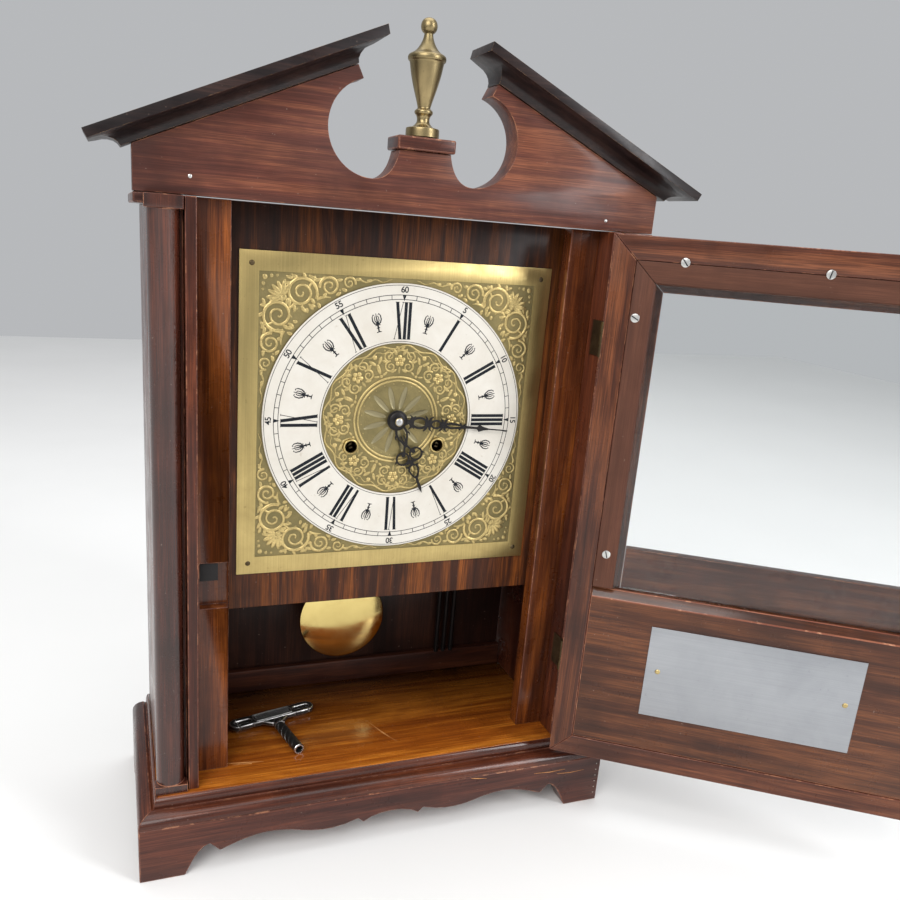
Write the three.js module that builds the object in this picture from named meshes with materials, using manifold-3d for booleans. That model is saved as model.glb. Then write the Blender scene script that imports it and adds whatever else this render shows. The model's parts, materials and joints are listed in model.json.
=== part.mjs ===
// Mantel clock: a mahogany case with a broken pediment, a brass dial, a two-arbor movement,
// a pendulum and a glazed front door that stands open. Millimetres, +Z up, +Y to the back.
// X = 0 is the dial's centre line, Y = 0 the dial plate's front, Z = 0 the shelf.
import * as THREE from 'three';
import { mergeVertices } from 'three/addons/utils/BufferGeometryUtils.js';
import Module from 'manifold-3d';

const wasm = await Module();
wasm.setup();

// ---- Driving dimensions -------------------------------------------------------------------
const gap = 0.3; // left between pieces that touch

// Case
const caseWidth = 376;
const caseTop = 513; // height of the case without its pediment
const caseFront = -27; // front edges of the side panels
const caseBack = 118.6;
const sideThickness = 23;
const topThickness = 7;
const topOverhang = 8.3;
const floorTop = 64.5;

// Plinth
const apronHeight = 47;
const plinthOverhang = 15.4; // past the case's sides
const plinthFrontOverhang = 27.3; // past the side panels' front edges
const plinthThickness = 20;
const footWidth = 34;
const sideFootWidth = 30;

// Columns, jambs and stiles at the front
const columnRadius = 10.6;
const blockWidth = 24.8;
const blockDepth = 10.8;
const baseBlockHeight = 7.2;
const capBlockHeight = 8.8;
const jambWidth = 7.6;
const jambProud = 1; // jambs stand ahead of the door's front
const stileFace = -13.5;
const stileWidth = 25;

// Pediment
const pedimentThickness = 20.6;
const pedimentFront = -28;
const pedimentShoulder = 28.4; // height of its ends
const rakeSlope = 0.4452;
const scrollOffset = 38.5; // the round cut-outs' centres, from the middle
const scrollHeight = 53.6; // and above the pediment's lower edge
const scrollRadius = 32.2;
const neckHalfWidth = 19.3;
const neckHeight = 42.4;
const rakeHeight = 15.3;
const rakeProjection = 18.3;
const rakeFascia = 6;
const rakeOverhang = 28.3; // past the ends of the pediment
const earInset = 14; // the raking moulding's upper end, past the pediment's ear
const finialBlockSize = [43.2, 27, 9.2];
const finialHeight = 78;
const finialRadius = 13.6;

// Dial and hands
const dialSide = 250;
const dialThickness = 1.5;
const dialBelowTop = 32.6; // dial's upper edge below the case's top
const ringOuterRadius = 108;
const ringInnerRadius = 62;
const ringThickness = 1.1;
const windingOffset = 36.5;
const windingDrop = 21.7;
const windingHoleRadius = 5;
const minuteHandLength = 97;
const hourHandLength = 66;
const minuteHandTurn = 95.2; // degrees past twelve
const hourHandTurn = 157.8;
const handThickness = 1.1;
const dialBoardThickness = 10;
const dialBoardBelow = 30; // dial board's lower edge below the dial plate's

// Movement
const frontPlateFront = 24;
const plateThickness = 2.5;
const plateSpace = 44;
const plateHalfWidth = 62;
const plateBelowCentre = 66;
const plateAboveCentre = 80;
const pillarRadius = 3.5;
const barrelRadius = 22;
const motionModule = 0.8;
const trainModule = 0.8;
const wheelTeeth = 48;
const pinionTeeth = 12;
const escapeRadius = 21;

// Pendulum, gong and key
const pendulumBehindPlate = 12;
const pendulumLift = 70; // its pivot above the dial's centre
const pendulumLean = 2.8; // degrees, towards -X
const bobRadius = 41;
const bobThickness = 14;
const bobAboveFloor = 78;
const rodRadius = 1.6;
const gongRodRadius = 2.2;
const keyLength = 80;
const keyTubeRadius = 4.2;

// Front door
const doorOpenAngle = 146; // degrees, as it stands
const doorThickness = 20;
const doorFrameWidth = 41;
const doorBackWidth = 18; // frame behind the glass
const doorLipThickness = 8;
const doorLowerHeight = 160; // lower panel and its rail, up to the glass
const glassThickness = 2;
const beadWidth = 17;
const beadProud = 0.8;
const doorSideClearance = 1.8;
const hingeRadius = 2.5;
const hingeHeight = 28;
const hingeInset = 82; // hinges' middles from the door's top and bottom
const leafThickness = 0.5;
const leafWidth = 17;
const knobRadius = 7;

// Back
const backThickness = 10;
const rearDoorWidth = 156;
const rearDoorHeight = 286;
const rearDoorBelowTop = 46;

// ---- Derived places -----------------------------------------------------------------------
const caseHalf = caseWidth / 2;
const innerHalf = caseHalf - sideThickness;
const plinthHalf = caseHalf + plinthOverhang;
const plinthFront = caseFront - plinthFrontOverhang;
const mouldingSetback = plinthOverhang - 0.8;
const boardTop = caseTop - topThickness;
const dialZ = caseTop - dialBelowTop - dialSide / 2;
const jambInner = innerHalf - gap - jambWidth;
const doorBack = stileFace - 1.2;
const doorFront = doorBack - doorThickness;
const jambFront = doorFront - jambProud;
const doorBottom = floorTop + 2;
const doorTop = caseTop - 1.4;
const doorHalf = jambInner - doorSideClearance;
const backFace = caseBack - backThickness;
const backPlateFront = frontPlateFront + plateThickness + plateSpace;
const backPlateBack = backPlateFront + plateThickness;
const pendulumY = backPlateBack + pendulumBehindPlate;
const pendulumZ = dialZ + pendulumLift;
const glassBottom = doorBottom + doorLowerHeight;
const dialBoardFront = dialThickness + gap;
const dialBoardBack = dialBoardFront + dialBoardThickness;
const dialBoardBottom = dialZ - dialSide / 2 - dialBoardBelow;

// ---- Finishes -----------------------------------------------------------------------------
const finish = (color, roughness, metalness = 0) =>
  () => new THREE.MeshStandardMaterial({ color, roughness, metalness });
const mahogany = finish(0x4a1f12, 0.35);
const ebonised = finish(0x1a1412, 0.4);
const goldenWood = finish(0x8a3d10, 0.25);
const agedBrass = finish(0xb39a56, 0.35, 1);
const antiqueBrass = finish(0x7d6a3c, 0.4, 1);
const polishedBrass = finish(0xd8b55a, 0.12, 1);
const silvered = finish(0xb9b6a6, 0.45, 0.8);
const blackSteel = finish(0x14110f, 0.4, 0.6);
const blueSteel = finish(0x30343a, 0.3, 1);
const aluminium = finish(0xa9afb6, 0.35, 1);
const clearGlass = () =>
  new THREE.MeshStandardMaterial({ color: 0xeef4f4, roughness: 0.03, transparent: true, opacity: 0.25 });

// ---- Shape helpers ------------------------------------------------------------------------
const radians = THREE.MathUtils.degToRad;
const circleSegments = 24;

function addPiece(group, name, geometry, material) {
  const mesh = new THREE.Mesh(geometry, material());
  mesh.name = name;
  group.add(mesh);
  return mesh;
}

// A box from its lowest to its highest corner
function block(x0, x1, y0, y1, z0, z1) {
  const geometry = new THREE.BoxGeometry(x1 - x0, y1 - y0, z1 - z0);
  return geometry.translate((x0 + x1) / 2, (y0 + y1) / 2, (z0 + z1) / 2);
}

function outline(points) {
  return new THREE.Shape(points.map(([a, b]) => new THREE.Vector2(a, b)));
}

function disc(radius, a = 0, b = 0, segments = circleSegments) {
  const points = [];
  for (let i = 0; i < segments; i++) {
    const turn = (2 * Math.PI * i) / segments;
    points.push([a + radius * Math.cos(turn), b + radius * Math.sin(turn)]);
  }
  return outline(points);
}

function withHoles(shape, holes) {
  shape.holes.push(...holes);
  return shape;
}

// An (x, z) outline between two depths
function plateY(shape, y0, y1, curveSegments = 12) {
  const geometry = new THREE.ExtrudeGeometry(shape, { depth: y1 - y0, bevelEnabled: false, curveSegments });
  return geometry.rotateX(Math.PI / 2).translate(0, y1, 0);
}

// An (x, y) outline between two heights
function plateZ(shape, z0, z1, curveSegments = 12) {
  const geometry = new THREE.ExtrudeGeometry(shape, { depth: z1 - z0, bevelEnabled: false, curveSegments });
  return geometry.translate(0, 0, z0);
}

// A (y, z) outline between two sides
function plateX(shape, x0, x1, curveSegments = 12) {
  const geometry = new THREE.ExtrudeGeometry(shape, { depth: x1 - x0, bevelEnabled: false, curveSegments });
  const turn = new THREE.Matrix4().makeBasis(
    new THREE.Vector3(0, 1, 0),
    new THREE.Vector3(0, 0, 1),
    new THREE.Vector3(1, 0, 0),
  );
  return geometry.applyMatrix4(turn).translate(x0, 0, 0);
}

// A run of one section between two end rings, whose points correspond
function run(outlinePoints, placeStart, placeEnd) {
  const drawn = outlinePoints.map(([a, b]) => new THREE.Vector2(a, b));
  const section = THREE.ShapeUtils.isClockWise(drawn) ? [...outlinePoints].reverse() : outlinePoints;
  const contour = section.map(([a, b]) => new THREE.Vector2(a, b));
  const caps = THREE.ShapeUtils.triangulateShape(contour, []);
  const count = section.length;
  const points = [...section.map(placeStart), ...section.map(placeEnd)];
  const faces = [];
  for (const [a, b, c] of caps) {
    faces.push([a, c, b], [a + count, b + count, c + count]);
  }
  for (let i = 0; i < count; i++) {
    const j = (i + 1) % count;
    faces.push([i, j, j + count], [i, j + count, i + count]);
  }
  let volume = 0;
  for (const [a, b, c] of faces) {
    const [p, q, r] = [a, b, c].map((index) => new THREE.Vector3(...points[index]));
    volume += p.dot(q.cross(r));
  }
  const ordered = volume > 0 ? faces : faces.map(([a, b, c]) => [a, c, b]);
  const geometry = new THREE.BufferGeometry();
  const positions = ordered.flat().flatMap((index) => points[index]);
  geometry.setAttribute('position', new THREE.Float32BufferAttribute(positions, 3));
  return geometry;
}

// A turned piece about Z, or about Y; the profile holds [radius, height] pairs
function turnedZ(profile, segments = circleSegments) {
  const points = profile.map(([radius, height]) => new THREE.Vector2(radius, height));
  return new THREE.LatheGeometry(points, segments).rotateX(Math.PI / 2);
}

function turnedY(profile, segments = circleSegments) {
  const points = profile.map(([radius, depth]) => new THREE.Vector2(radius, depth));
  return new THREE.LatheGeometry(points, segments);
}

const rodY = (radius, y0, y1, segments = 16) =>
  turnedY([[0, y0], [radius, y0], [radius, y1], [0, y1]], segments);
const rodZ = (radius, z0, z1, segments = 16) =>
  turnedZ([[0, z0], [radius, z0], [radius, z1], [0, z1]], segments);

// A lathe's poles and seams are merged, and the faces that this flattens are dropped
function toSolid(geometry) {
  const plain = geometry.clone();
  plain.deleteAttribute('normal');
  plain.deleteAttribute('uv');
  const merged = mergeVertices(plain, 1e-4);
  const corners = merged.index.array;
  const kept = [];
  for (let i = 0; i < corners.length; i += 3) {
    const [a, b, c] = [corners[i], corners[i + 1], corners[i + 2]];
    if (a !== b && b !== c && c !== a) kept.push(a, b, c);
  }
  return new wasm.Manifold(new wasm.Mesh({
    numProp: 3,
    vertProperties: merged.attributes.position.array,
    triVerts: new Uint32Array(kept),
  }));
}

function toGeometry(solid) {
  const mesh = solid.getMesh();
  const geometry = new THREE.BufferGeometry();
  geometry.setAttribute('position', new THREE.Float32BufferAttribute(mesh.vertProperties, 3));
  geometry.setIndex(new THREE.Uint32BufferAttribute(mesh.triVerts, 1));
  return geometry;
}

function join(...geometries) {
  return toGeometry(geometries.map(toSolid).reduce((sum, next) => sum.add(next)));
}

function cut(geometry, ...tools) {
  return toGeometry(tools.map(toSolid).reduce((rest, tool) => rest.subtract(tool), toSolid(geometry)));
}

// A toothed outline; its teeth are slim enough to run in their neighbour's spaces
function gearShape(teeth, module, turn = 0) {
  const pitch = (teeth * module) / 2;
  const [root, tip] = [pitch - 1.1 * module, pitch + 0.8 * module];
  const points = [];
  for (let i = 0; i < teeth; i++) {
    const middle = ((i + 0.5) / teeth) * 2 * Math.PI + turn;
    const step = Math.PI / teeth;
    for (const [radius, offset] of [[root, -0.56], [tip, -0.2], [tip, 0.2], [root, 0.56]]) {
      points.push([radius * Math.cos(middle + offset * step), radius * Math.sin(middle + offset * step)]);
    }
  }
  return outline(points);
}

// The turn that puts a gear in mesh with its neighbour; the direction runs from the neighbour to it
function meshTurn(neighbourTurn, neighbourTeeth, direction, teeth) {
  const offset = 0.5 + ((neighbourTurn - direction) * neighbourTeeth) / (2 * Math.PI);
  return direction + Math.PI - (offset * 2 * Math.PI) / teeth;
}

const clock = new THREE.Group();

// ---- Plinth -------------------------------------------------------------------------------
// The shaped lower edge of a board: feet, cusps and a long arch either side of the middle
function frontApron() {
  const edge = plinthHalf;
  const foot = edge - footWidth;
  const shape = new THREE.Shape();
  shape.moveTo(-edge, 0);
  shape.lineTo(-foot, 0);
  shape.bezierCurveTo(-foot + 5, 10, -foot + 10, 24, -foot + 19, 25.5);
  shape.lineTo(-foot + 27, 17.5);
  shape.bezierCurveTo(-foot + 48, 26, -foot + 62, 30, -foot + 84, 25);
  shape.bezierCurveTo(-foot + 100, 20, -foot + 118, 16, -29, 24.5);
  shape.lineTo(-24.5, 20);
  shape.bezierCurveTo(-14, 29, 14, 29, 24.5, 20);
  shape.lineTo(29, 24.5);
  shape.bezierCurveTo(foot - 118, 16, foot - 100, 20, foot - 84, 25);
  shape.bezierCurveTo(foot - 62, 30, foot - 48, 26, foot - 27, 17.5);
  shape.lineTo(foot - 19, 25.5);
  shape.bezierCurveTo(foot - 10, 24, foot - 5, 10, foot, 0);
  shape.lineTo(edge, 0);
  shape.lineTo(edge, apronHeight);
  shape.lineTo(-edge, apronHeight);
  return shape;
}

function sideApron() {
  const [front, back] = [plinthFront + plinthThickness + gap, caseBack];
  const [frontFoot, backFoot] = [front + sideFootWidth - plinthThickness, back - sideFootWidth];
  const shape = new THREE.Shape();
  shape.moveTo(front, 0);
  shape.lineTo(frontFoot, 0);
  shape.bezierCurveTo(frontFoot + 4, 10, frontFoot + 8, 24, frontFoot + 17, 25.5);
  shape.lineTo(frontFoot + 24, 18);
  shape.bezierCurveTo(frontFoot + 36, 29, backFoot - 36, 29, backFoot - 24, 18);
  shape.lineTo(backFoot - 17, 25.5);
  shape.bezierCurveTo(backFoot - 8, 24, backFoot - 4, 10, backFoot, 0);
  shape.lineTo(back, 0);
  shape.lineTo(back, apronHeight);
  shape.lineTo(front, apronHeight);
  return shape;
}

addPiece(clock, 'plinth_front',
  plateY(frontApron(), plinthFront, plinthFront + plinthThickness, 6), mahogany);
addPiece(clock, 'plinth_left', plateX(sideApron(), -plinthHalf, -plinthHalf + plinthThickness, 5), mahogany);
addPiece(clock, 'plinth_right', plateX(sideApron(), plinthHalf - plinthThickness, plinthHalf, 5), mahogany);

// Base moulding: [setback, height], a large ovolo, a groove and a small ovolo
function baseMouldingSection() {
  const bottom = apronHeight + gap;
  const points = [[0, bottom]];
  for (let i = 0; i <= 4; i++) {
    const turn = radians(90 - i * 22.5);
    points.push([9.5 - 9.5 * Math.sin(turn), bottom + 1.6 + 8 * Math.cos(turn)]);
  }
  points.push([11.9, bottom + 8.4]);
  for (let i = 0; i <= 3; i++) {
    const turn = radians(i * 30);
    const reach = 11.9 + (mouldingSetback - 11.9) * (1 - Math.cos(turn));
    points.push([reach, bottom + 9.6 + 7.6 * Math.sin(turn)]);
  }
  points.push([mouldingSetback, bottom]);
  return points;
}

const mouldingSection = baseMouldingSection();
addPiece(clock, 'base_moulding_front', run(
  mouldingSection,
  ([set, z]) => [-(plinthHalf - set), plinthFront + set, z],
  ([set, z]) => [plinthHalf - set, plinthFront + set, z],
), mahogany);
for (const [side, name] of [[-1, 'left'], [1, 'right']]) {
  addPiece(clock, `base_moulding_${name}`, run(
    mouldingSection,
    ([set, z]) => [side * (plinthHalf - set), plinthFront + set + gap, z],
    ([set, z]) => [side * (plinthHalf - set), caseBack, z],
  ), mahogany);
}

// ---- Case ---------------------------------------------------------------------------------
const floorHalf = plinthHalf - mouldingSetback - gap;
const floorFront = plinthFront + mouldingSetback + gap;
addPiece(clock, 'floor_board',
  block(-floorHalf, floorHalf, floorFront, caseBack, apronHeight + gap, floorTop), goldenWood);

const sideBottom = floorTop + gap;
const sideTop = boardTop - gap;
addPiece(clock, 'side_left',
  block(-caseHalf, -innerHalf, caseFront, caseBack, sideBottom, sideTop), mahogany);
addPiece(clock, 'side_right',
  block(innerHalf, caseHalf, caseFront, caseBack, sideBottom, sideTop), mahogany);

// Between the side panels the top board is cut back behind the dial board
const topHalf = caseHalf + topOverhang;
addPiece(clock, 'top_board', cut(
  block(-topHalf, topHalf, caseFront, caseBack, boardTop, caseTop),
  block(-innerHalf, innerHalf, caseFront - 1, dialBoardBack + gap, boardTop - 1, caseTop + 1),
), mahogany);
const frontTop = caseTop - gap; // what stands ahead of it reaches the pediment

// Half-round columns with their base and cap blocks, in front of the side panels
for (const [side, name] of [[-1, 'left'], [1, 'right']]) {
  const middle = side * (caseHalf + 2.3 - blockWidth / 2);
  const back = caseFront - gap;
  const half = new THREE.Shape();
  half.absarc(0, 0, columnRadius, Math.PI, 2 * Math.PI, false);
  const shaft = plateZ(half, sideBottom + 1, frontTop - 1, 14).translate(middle, back, 0);
  const left = middle - blockWidth / 2;
  const right = middle + blockWidth / 2;
  const base = block(left, right, back - blockDepth, back, sideBottom, sideBottom + baseBlockHeight);
  const cap = block(left, right, back - blockDepth, back, frontTop - capBlockHeight, frontTop);
  addPiece(clock, `column_${name}`, join(shaft, base, cap), mahogany);

  const [near, far] = [side * jambInner, side * (jambInner + jambWidth)].sort((a, b) => a - b);
  addPiece(clock, `jamb_${name}`,
    block(near, far, jambFront, stileFace - gap, sideBottom, frontTop), mahogany);
}

// Stiles behind the door; the left one has a mortise for the latch
const stileInner = jambInner - stileWidth;
const stileOuter = innerHalf - gap;
const latchZ = floorTop + 162.5;
const latchX = -(doorHalf - 12);
const spindleRadius = 3;
const tongueLength = 9.8; // it turns within the mortise
const mortise = {
  left: latchX - 11, right: latchX + 10.4, bottom: latchZ - 17.5, top: latchZ + 20, depth: 8,
};
addPiece(clock, 'stile_right',
  block(stileInner, stileOuter, stileFace, -gap, sideBottom, frontTop), mahogany);
addPiece(clock, 'stile_left', cut(
  block(-stileOuter, -stileInner, stileFace, -gap, sideBottom, frontTop),
  block(mortise.left, mortise.right, stileFace - 1, stileFace + mortise.depth, mortise.bottom, mortise.top),
), mahogany);
addPiece(clock, 'catch_plate', block(
  mortise.left + gap, latchX + 3, stileFace + 0.4, stileFace + 1.4,
  latchZ + spindleRadius + 2.5, mortise.top - gap,
), agedBrass);

// ---- Pediment -----------------------------------------------------------------------------
const pedimentBottom = caseTop + gap;
const pedimentBack = pedimentFront + pedimentThickness;
const shoulderZ = pedimentBottom + pedimentShoulder;
const rakeLineZ = (x) => shoulderZ + (topHalf - Math.abs(x)) * rakeSlope;
const earX = 51.5;

function pedimentShape() {
  const centreZ = pedimentBottom + scrollHeight;
  const neckZ = pedimentBottom + neckHeight;
  const shape = new THREE.Shape();
  shape.moveTo(-topHalf, pedimentBottom);
  shape.lineTo(topHalf, pedimentBottom);
  shape.lineTo(topHalf, shoulderZ);
  shape.lineTo(earX, rakeLineZ(earX));
  const arcEnd = radians(-90);
  shape.absarc(scrollOffset, centreZ, scrollRadius, radians(74), arcEnd, true);
  shape.quadraticCurveTo(scrollOffset - 15.5, centreZ - scrollRadius, neckHalfWidth, neckZ);
  shape.lineTo(-neckHalfWidth, neckZ);
  shape.quadraticCurveTo(-scrollOffset + 15.5, centreZ - scrollRadius, -scrollOffset, centreZ - scrollRadius);
  shape.absarc(-scrollOffset, centreZ, scrollRadius, arcEnd, radians(106), true);
  shape.lineTo(-earX, rakeLineZ(earX));
  shape.lineTo(-topHalf, shoulderZ);
  return shape;
}

addPiece(clock, 'pediment_board', plateY(pedimentShape(), pedimentFront, pedimentBack, 14), mahogany);

// Raking moulding: the front view's outline and the section's run are intersected, so that the
// fascia and cove return round both ends
function rakingMoulding(side) {
  const slopeLength = Math.hypot(1, rakeSlope);
  const along = [-1 / slopeLength, rakeSlope / slopeLength]; // towards the middle, for side = 1
  const across = [rakeSlope / slopeLength, 1 / slopeLength];
  const seat = gap * slopeLength;
  const start = [topHalf, shoulderZ + seat];
  const place = (u, h) => [
    side * (start[0] + u * along[0] + h * across[0]),
    start[1] + u * along[1] + h * across[1],
  ];
  const seatLength = (topHalf - earX) * slopeLength;
  const cove = (reach, rise) => {
    const points = [];
    for (let i = 0; i <= 5; i++) {
      const turn = radians(i * 18);
      points.push([reach * (1 - Math.cos(turn)), rise * Math.sin(turn)]);
    }
    return points;
  };
  const coveRise = rakeHeight - rakeFascia - 0.8;
  const fasciaFoot = rakeHeight - rakeFascia;
  const frontOutline = [
    place(0, 0),
    ...cove(rakeOverhang - 16, coveRise).map(([reach, rise]) => place(-reach - 7, rise)),
    place(-rakeOverhang + 4.5, fasciaFoot),
    place(-rakeOverhang + 4, rakeHeight),
    place(seatLength + earInset + 8, rakeHeight),
    place(seatLength + earInset + 7, fasciaFoot),
    ...cove(earInset - 2, coveRise).map(([reach, rise]) => place(seatLength + reach, rise)).reverse(),
  ];
  const face = plateY(outline(frontOutline), pedimentFront - rakeProjection - 1, pedimentBack);
  const section = [
    [pedimentBack, 0],
    [pedimentFront, 0],
    ...cove(rakeProjection - 4, coveRise - 0.4)
      .map(([reach, rise]) => [pedimentFront - 1 - reach, rise + 0.2]),
    [pedimentFront - rakeProjection, fasciaFoot],
    [pedimentFront - rakeProjection, rakeHeight],
    [pedimentBack, rakeHeight],
  ];
  const at = (u) => ([y, h]) => {
    const [x, z] = place(u, h);
    return [x, y, z];
  };
  const whole = run(section, at(-rakeOverhang * 2), at(seatLength + earInset * 2));
  return toGeometry(toSolid(face).intersect(toSolid(whole)));
}

addPiece(clock, 'raking_moulding_left', rakingMoulding(-1), ebonised);
addPiece(clock, 'raking_moulding_right', rakingMoulding(1), ebonised);

const blockZ = pedimentBottom + neckHeight + gap;
const finialY = (pedimentFront + pedimentBack) / 2;
addPiece(clock, 'finial_block', block(
  -finialBlockSize[0] / 2, finialBlockSize[0] / 2,
  finialY - finialBlockSize[1] / 2, finialY + finialBlockSize[1] / 2,
  blockZ, blockZ + finialBlockSize[2],
), mahogany);

// Brass urn finial with a ball; each pair is [share of the radius, share of the height]
const finialProfile = [
  [0, 0], [0.89, 0], [0.89, 0.085], [0.55, 0.095], [0.33, 0.165], [0.47, 0.225], [0.34, 0.26],
  [0.55, 0.38], [0.78, 0.52], [0.89, 0.63], [0.99, 0.65], [1, 0.675], [0.93, 0.7], [0.63, 0.715],
  [0.4, 0.76], [0.22, 0.84], [0.2, 0.868], [0.36, 0.885], [0.43, 0.925], [0.36, 0.965], [0.18, 0.992], [0, 1],
];
const finial = turnedZ(
  finialProfile.map(([radius, height]) => [radius * finialRadius, height * finialHeight]), 20);
finial.translate(0, finialY, blockZ + finialBlockSize[2] + gap);
addPiece(clock, 'finial', finial, antiqueBrass);

// ---- Dial ---------------------------------------------------------------------------------
const centreHole = 5.6;
const windingPlaces = [[-windingOffset, dialZ - windingDrop], [windingOffset, dialZ - windingDrop]];

function squareShape(half, bottom, top) {
  return outline([[-half, bottom], [half, bottom], [half, top], [-half, top]]);
}

const dialHalf = dialSide / 2;
const windingHoles = (radius) => windingPlaces.map(([x, z]) => disc(radius, x, z, 16));
const boardHoles = [disc(9, 0, dialZ, 16), ...windingHoles(windingHoleRadius + 3)];
addPiece(clock, 'dial_board', plateY(
  withHoles(squareShape(innerHalf - 1, dialBoardBottom, frontTop), boardHoles),
  dialBoardFront, dialBoardBack,
), mahogany);
const plateHoles = [disc(centreHole, 0, dialZ, 16), ...windingHoles(windingHoleRadius)];
addPiece(clock, 'dial_plate', plateY(
  withHoles(squareShape(dialHalf, dialZ - dialHalf, dialZ + dialHalf), plateHoles), 0, dialThickness,
), agedBrass);
const ringBack = -gap;
addPiece(clock, 'chapter_ring', plateY(
  withHoles(disc(ringOuterRadius, 0, dialZ, 48), [disc(ringInnerRadius, 0, dialZ, 48)]),
  ringBack - ringThickness, ringBack,
), silvered);

// ---- Movement -----------------------------------------------------------------------------
const backArborEnd = backPlateBack + 1;
const frontArborStart = frontPlateFront - 1;
const arborRadius = 1.6;
const trainDistance = (trainModule * (wheelTeeth + pinionTeeth)) / 2;
const thirdDirection = radians(50);
// from the dial's centre, across and up
const thirdPlace = [trainDistance * Math.cos(thirdDirection), trainDistance * Math.sin(thirdDirection)];
const escapePlace = [0, 2 * thirdPlace[1]];
const minuteWheelPlace = [0, -24 * motionModule];
const arborPlaces = [thirdPlace, escapePlace, [0, pendulumLift]];
const hammerStudRadius = 1.6;
const hammerPivot = [plateHalfWidth - 10, backPlateBack + 6, dialZ - 40];

function platesWithPillars() {
  const plate = (holes, y0) => plateY(withHoles(
    squareShape(plateHalfWidth, dialZ - plateBelowCentre, dialZ + plateAboveCentre), holes,
  ), y0, y0 + plateThickness);
  const small = arborPlaces.map(([x, z]) => disc(arborRadius + gap, x, dialZ + z, 12));
  const winding = windingPlaces.map(([x, z]) => disc(3 + gap, x, z, 12));
  const centre = disc(2.4 + gap, 0, dialZ, 12);
  const parts = [frontPlateFront, backPlateFront]
    .map((face) => plate([...small, ...winding, centre], face));
  for (const x of [-plateHalfWidth + 8, plateHalfWidth - 8]) {
    for (const z of [dialZ - plateBelowCentre + 8, dialZ + plateAboveCentre - 8]) {
      parts.push(rodY(pillarRadius, frontPlateFront + 1, backPlateFront + 1, 10).translate(x, 0, z));
      // feet that reach the dial board and carry the whole movement
      const foot = rodY(pillarRadius, dialBoardBack + gap, frontPlateFront + 1, 10);
      parts.push(foot.translate(x, 0, z));
    }
  }
  // stud for the minute wheel, and the cock that carries the pendulum
  parts.push(rodY(1.2, frontPlateFront - 10.5, frontPlateFront + 1, 10)
    .translate(minuteWheelPlace[0], 0, dialZ + minuteWheelPlace[1]));
  parts.push(block(-9, 9, backPlateBack - 1, pendulumY + 5, pendulumZ + 2, pendulumZ + 5));
  parts.push(rodY(hammerStudRadius, backPlateBack - 1, hammerPivot[1] + 5, 12)
    .translate(hammerPivot[0], 0, hammerPivot[2]));
  return join(...parts);
}
addPiece(clock, 'movement_frame', platesWithPillars(), agedBrass);

// Spring barrels, each with its arbor and winding square
for (const [index, name] of [[0, 'strike'], [1, 'time']]) {
  const [x, z] = windingPlaces[index];
  const drumStart = frontPlateFront + plateThickness + 8;
  const drum = turnedY([
    [0, drumStart], [barrelRadius, drumStart], [barrelRadius, drumStart + 26], [0, drumStart + 26],
  ], 28);
  const arbor = rodY(3, frontPlateFront - 3, backArborEnd, 12);
  const square = rodY(2.6, dialThickness, frontPlateFront - 2, 4);
  addPiece(clock, `barrel_${name}`, join(drum, arbor, square), agedBrass).position.set(x, 0, z);
}

// Centre arbor with its wheel and the cannon pinion; its nose ends in the hands' nut
const nutY = -2.2 - 3 * (handThickness + 0.9);
const centreWheelY = frontPlateFront + plateThickness + 2.5;
const cannonY = frontPlateFront - 4.4;
const centreArbor = new THREE.Group();
centreArbor.position.set(0, 0, dialZ);
clock.add(centreArbor);
addPiece(centreArbor, 'centre_arbor', join(
  rodY(2.4, nutY + 1, backArborEnd, 12),
  turnedY([[0, nutY - 1.6], [2.2, nutY - 1.6], [3.4, nutY - 0.9], [3.4, nutY + 1.5], [0, nutY + 1.5]], 16),
  plateY(gearShape(wheelTeeth, trainModule), centreWheelY, centreWheelY + 2),
  plateY(gearShape(12, motionModule), cannonY, cannonY + 3.2),
), agedBrass);

// Third and escape arbors
function arborPiece(name, place, wheelY, wheelShape, wheelThickness, pinionY, pinionShape) {
  const piece = addPiece(clock, name, join(
    rodY(arborRadius, frontArborStart, backArborEnd, 12),
    plateY(wheelShape, wheelY, wheelY + wheelThickness),
    plateY(pinionShape, pinionY, pinionY + 5),
  ), agedBrass);
  piece.position.set(place[0], 0, dialZ + place[1]);
}

const thirdWheelY = centreWheelY + 12;
const escapeWheelY = thirdWheelY + 12;
const thirdTurn = meshTurn(0, wheelTeeth, thirdDirection, pinionTeeth);
const escapeTurn = meshTurn(0, wheelTeeth, Math.PI - thirdDirection, pinionTeeth);
arborPiece('third_wheel', thirdPlace,
  thirdWheelY, gearShape(wheelTeeth, trainModule), 1.8,
  centreWheelY - 1.5, gearShape(pinionTeeth, trainModule, thirdTurn));
function escapeShape() {
  const points = [];
  const teeth = 24;
  for (let i = 0; i < teeth; i++) {
    const base = (i / teeth) * 2 * Math.PI;
    const root = escapeRadius - 3.5;
    points.push([root * Math.cos(base), root * Math.sin(base)]);
    points.push([escapeRadius * Math.cos(base + 0.05), escapeRadius * Math.sin(base + 0.05)]);
  }
  return outline(points);
}
arborPiece('escape_wheel', escapePlace,
  escapeWheelY, escapeShape(), 1.5,
  thirdWheelY - 1.5, gearShape(pinionTeeth, trainModule, escapeTurn));

// Motion work: minute wheel on its stud, hour wheel and pipe with the hour hand
const hourModule = (24 * motionModule) / 25;
const hourWheelY = frontPlateFront - 8.6;
const minuteTurn = meshTurn(0, 12, -Math.PI / 2, 36);
const hourTurn = meshTurn(0, 10, Math.PI / 2, 40);
const studHole = () => disc(1.5, 0, 0, 10);
addPiece(clock, 'minute_wheel', join(
  plateY(withHoles(gearShape(36, motionModule, minuteTurn), [studHole()]), cannonY + 0.8, cannonY + 2.6),
  plateY(withHoles(gearShape(10, hourModule), [studHole()]), hourWheelY - 0.6, cannonY + 1),
), agedBrass).position.set(minuteWheelPlace[0], 0, dialZ + minuteWheelPlace[1]);

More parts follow.
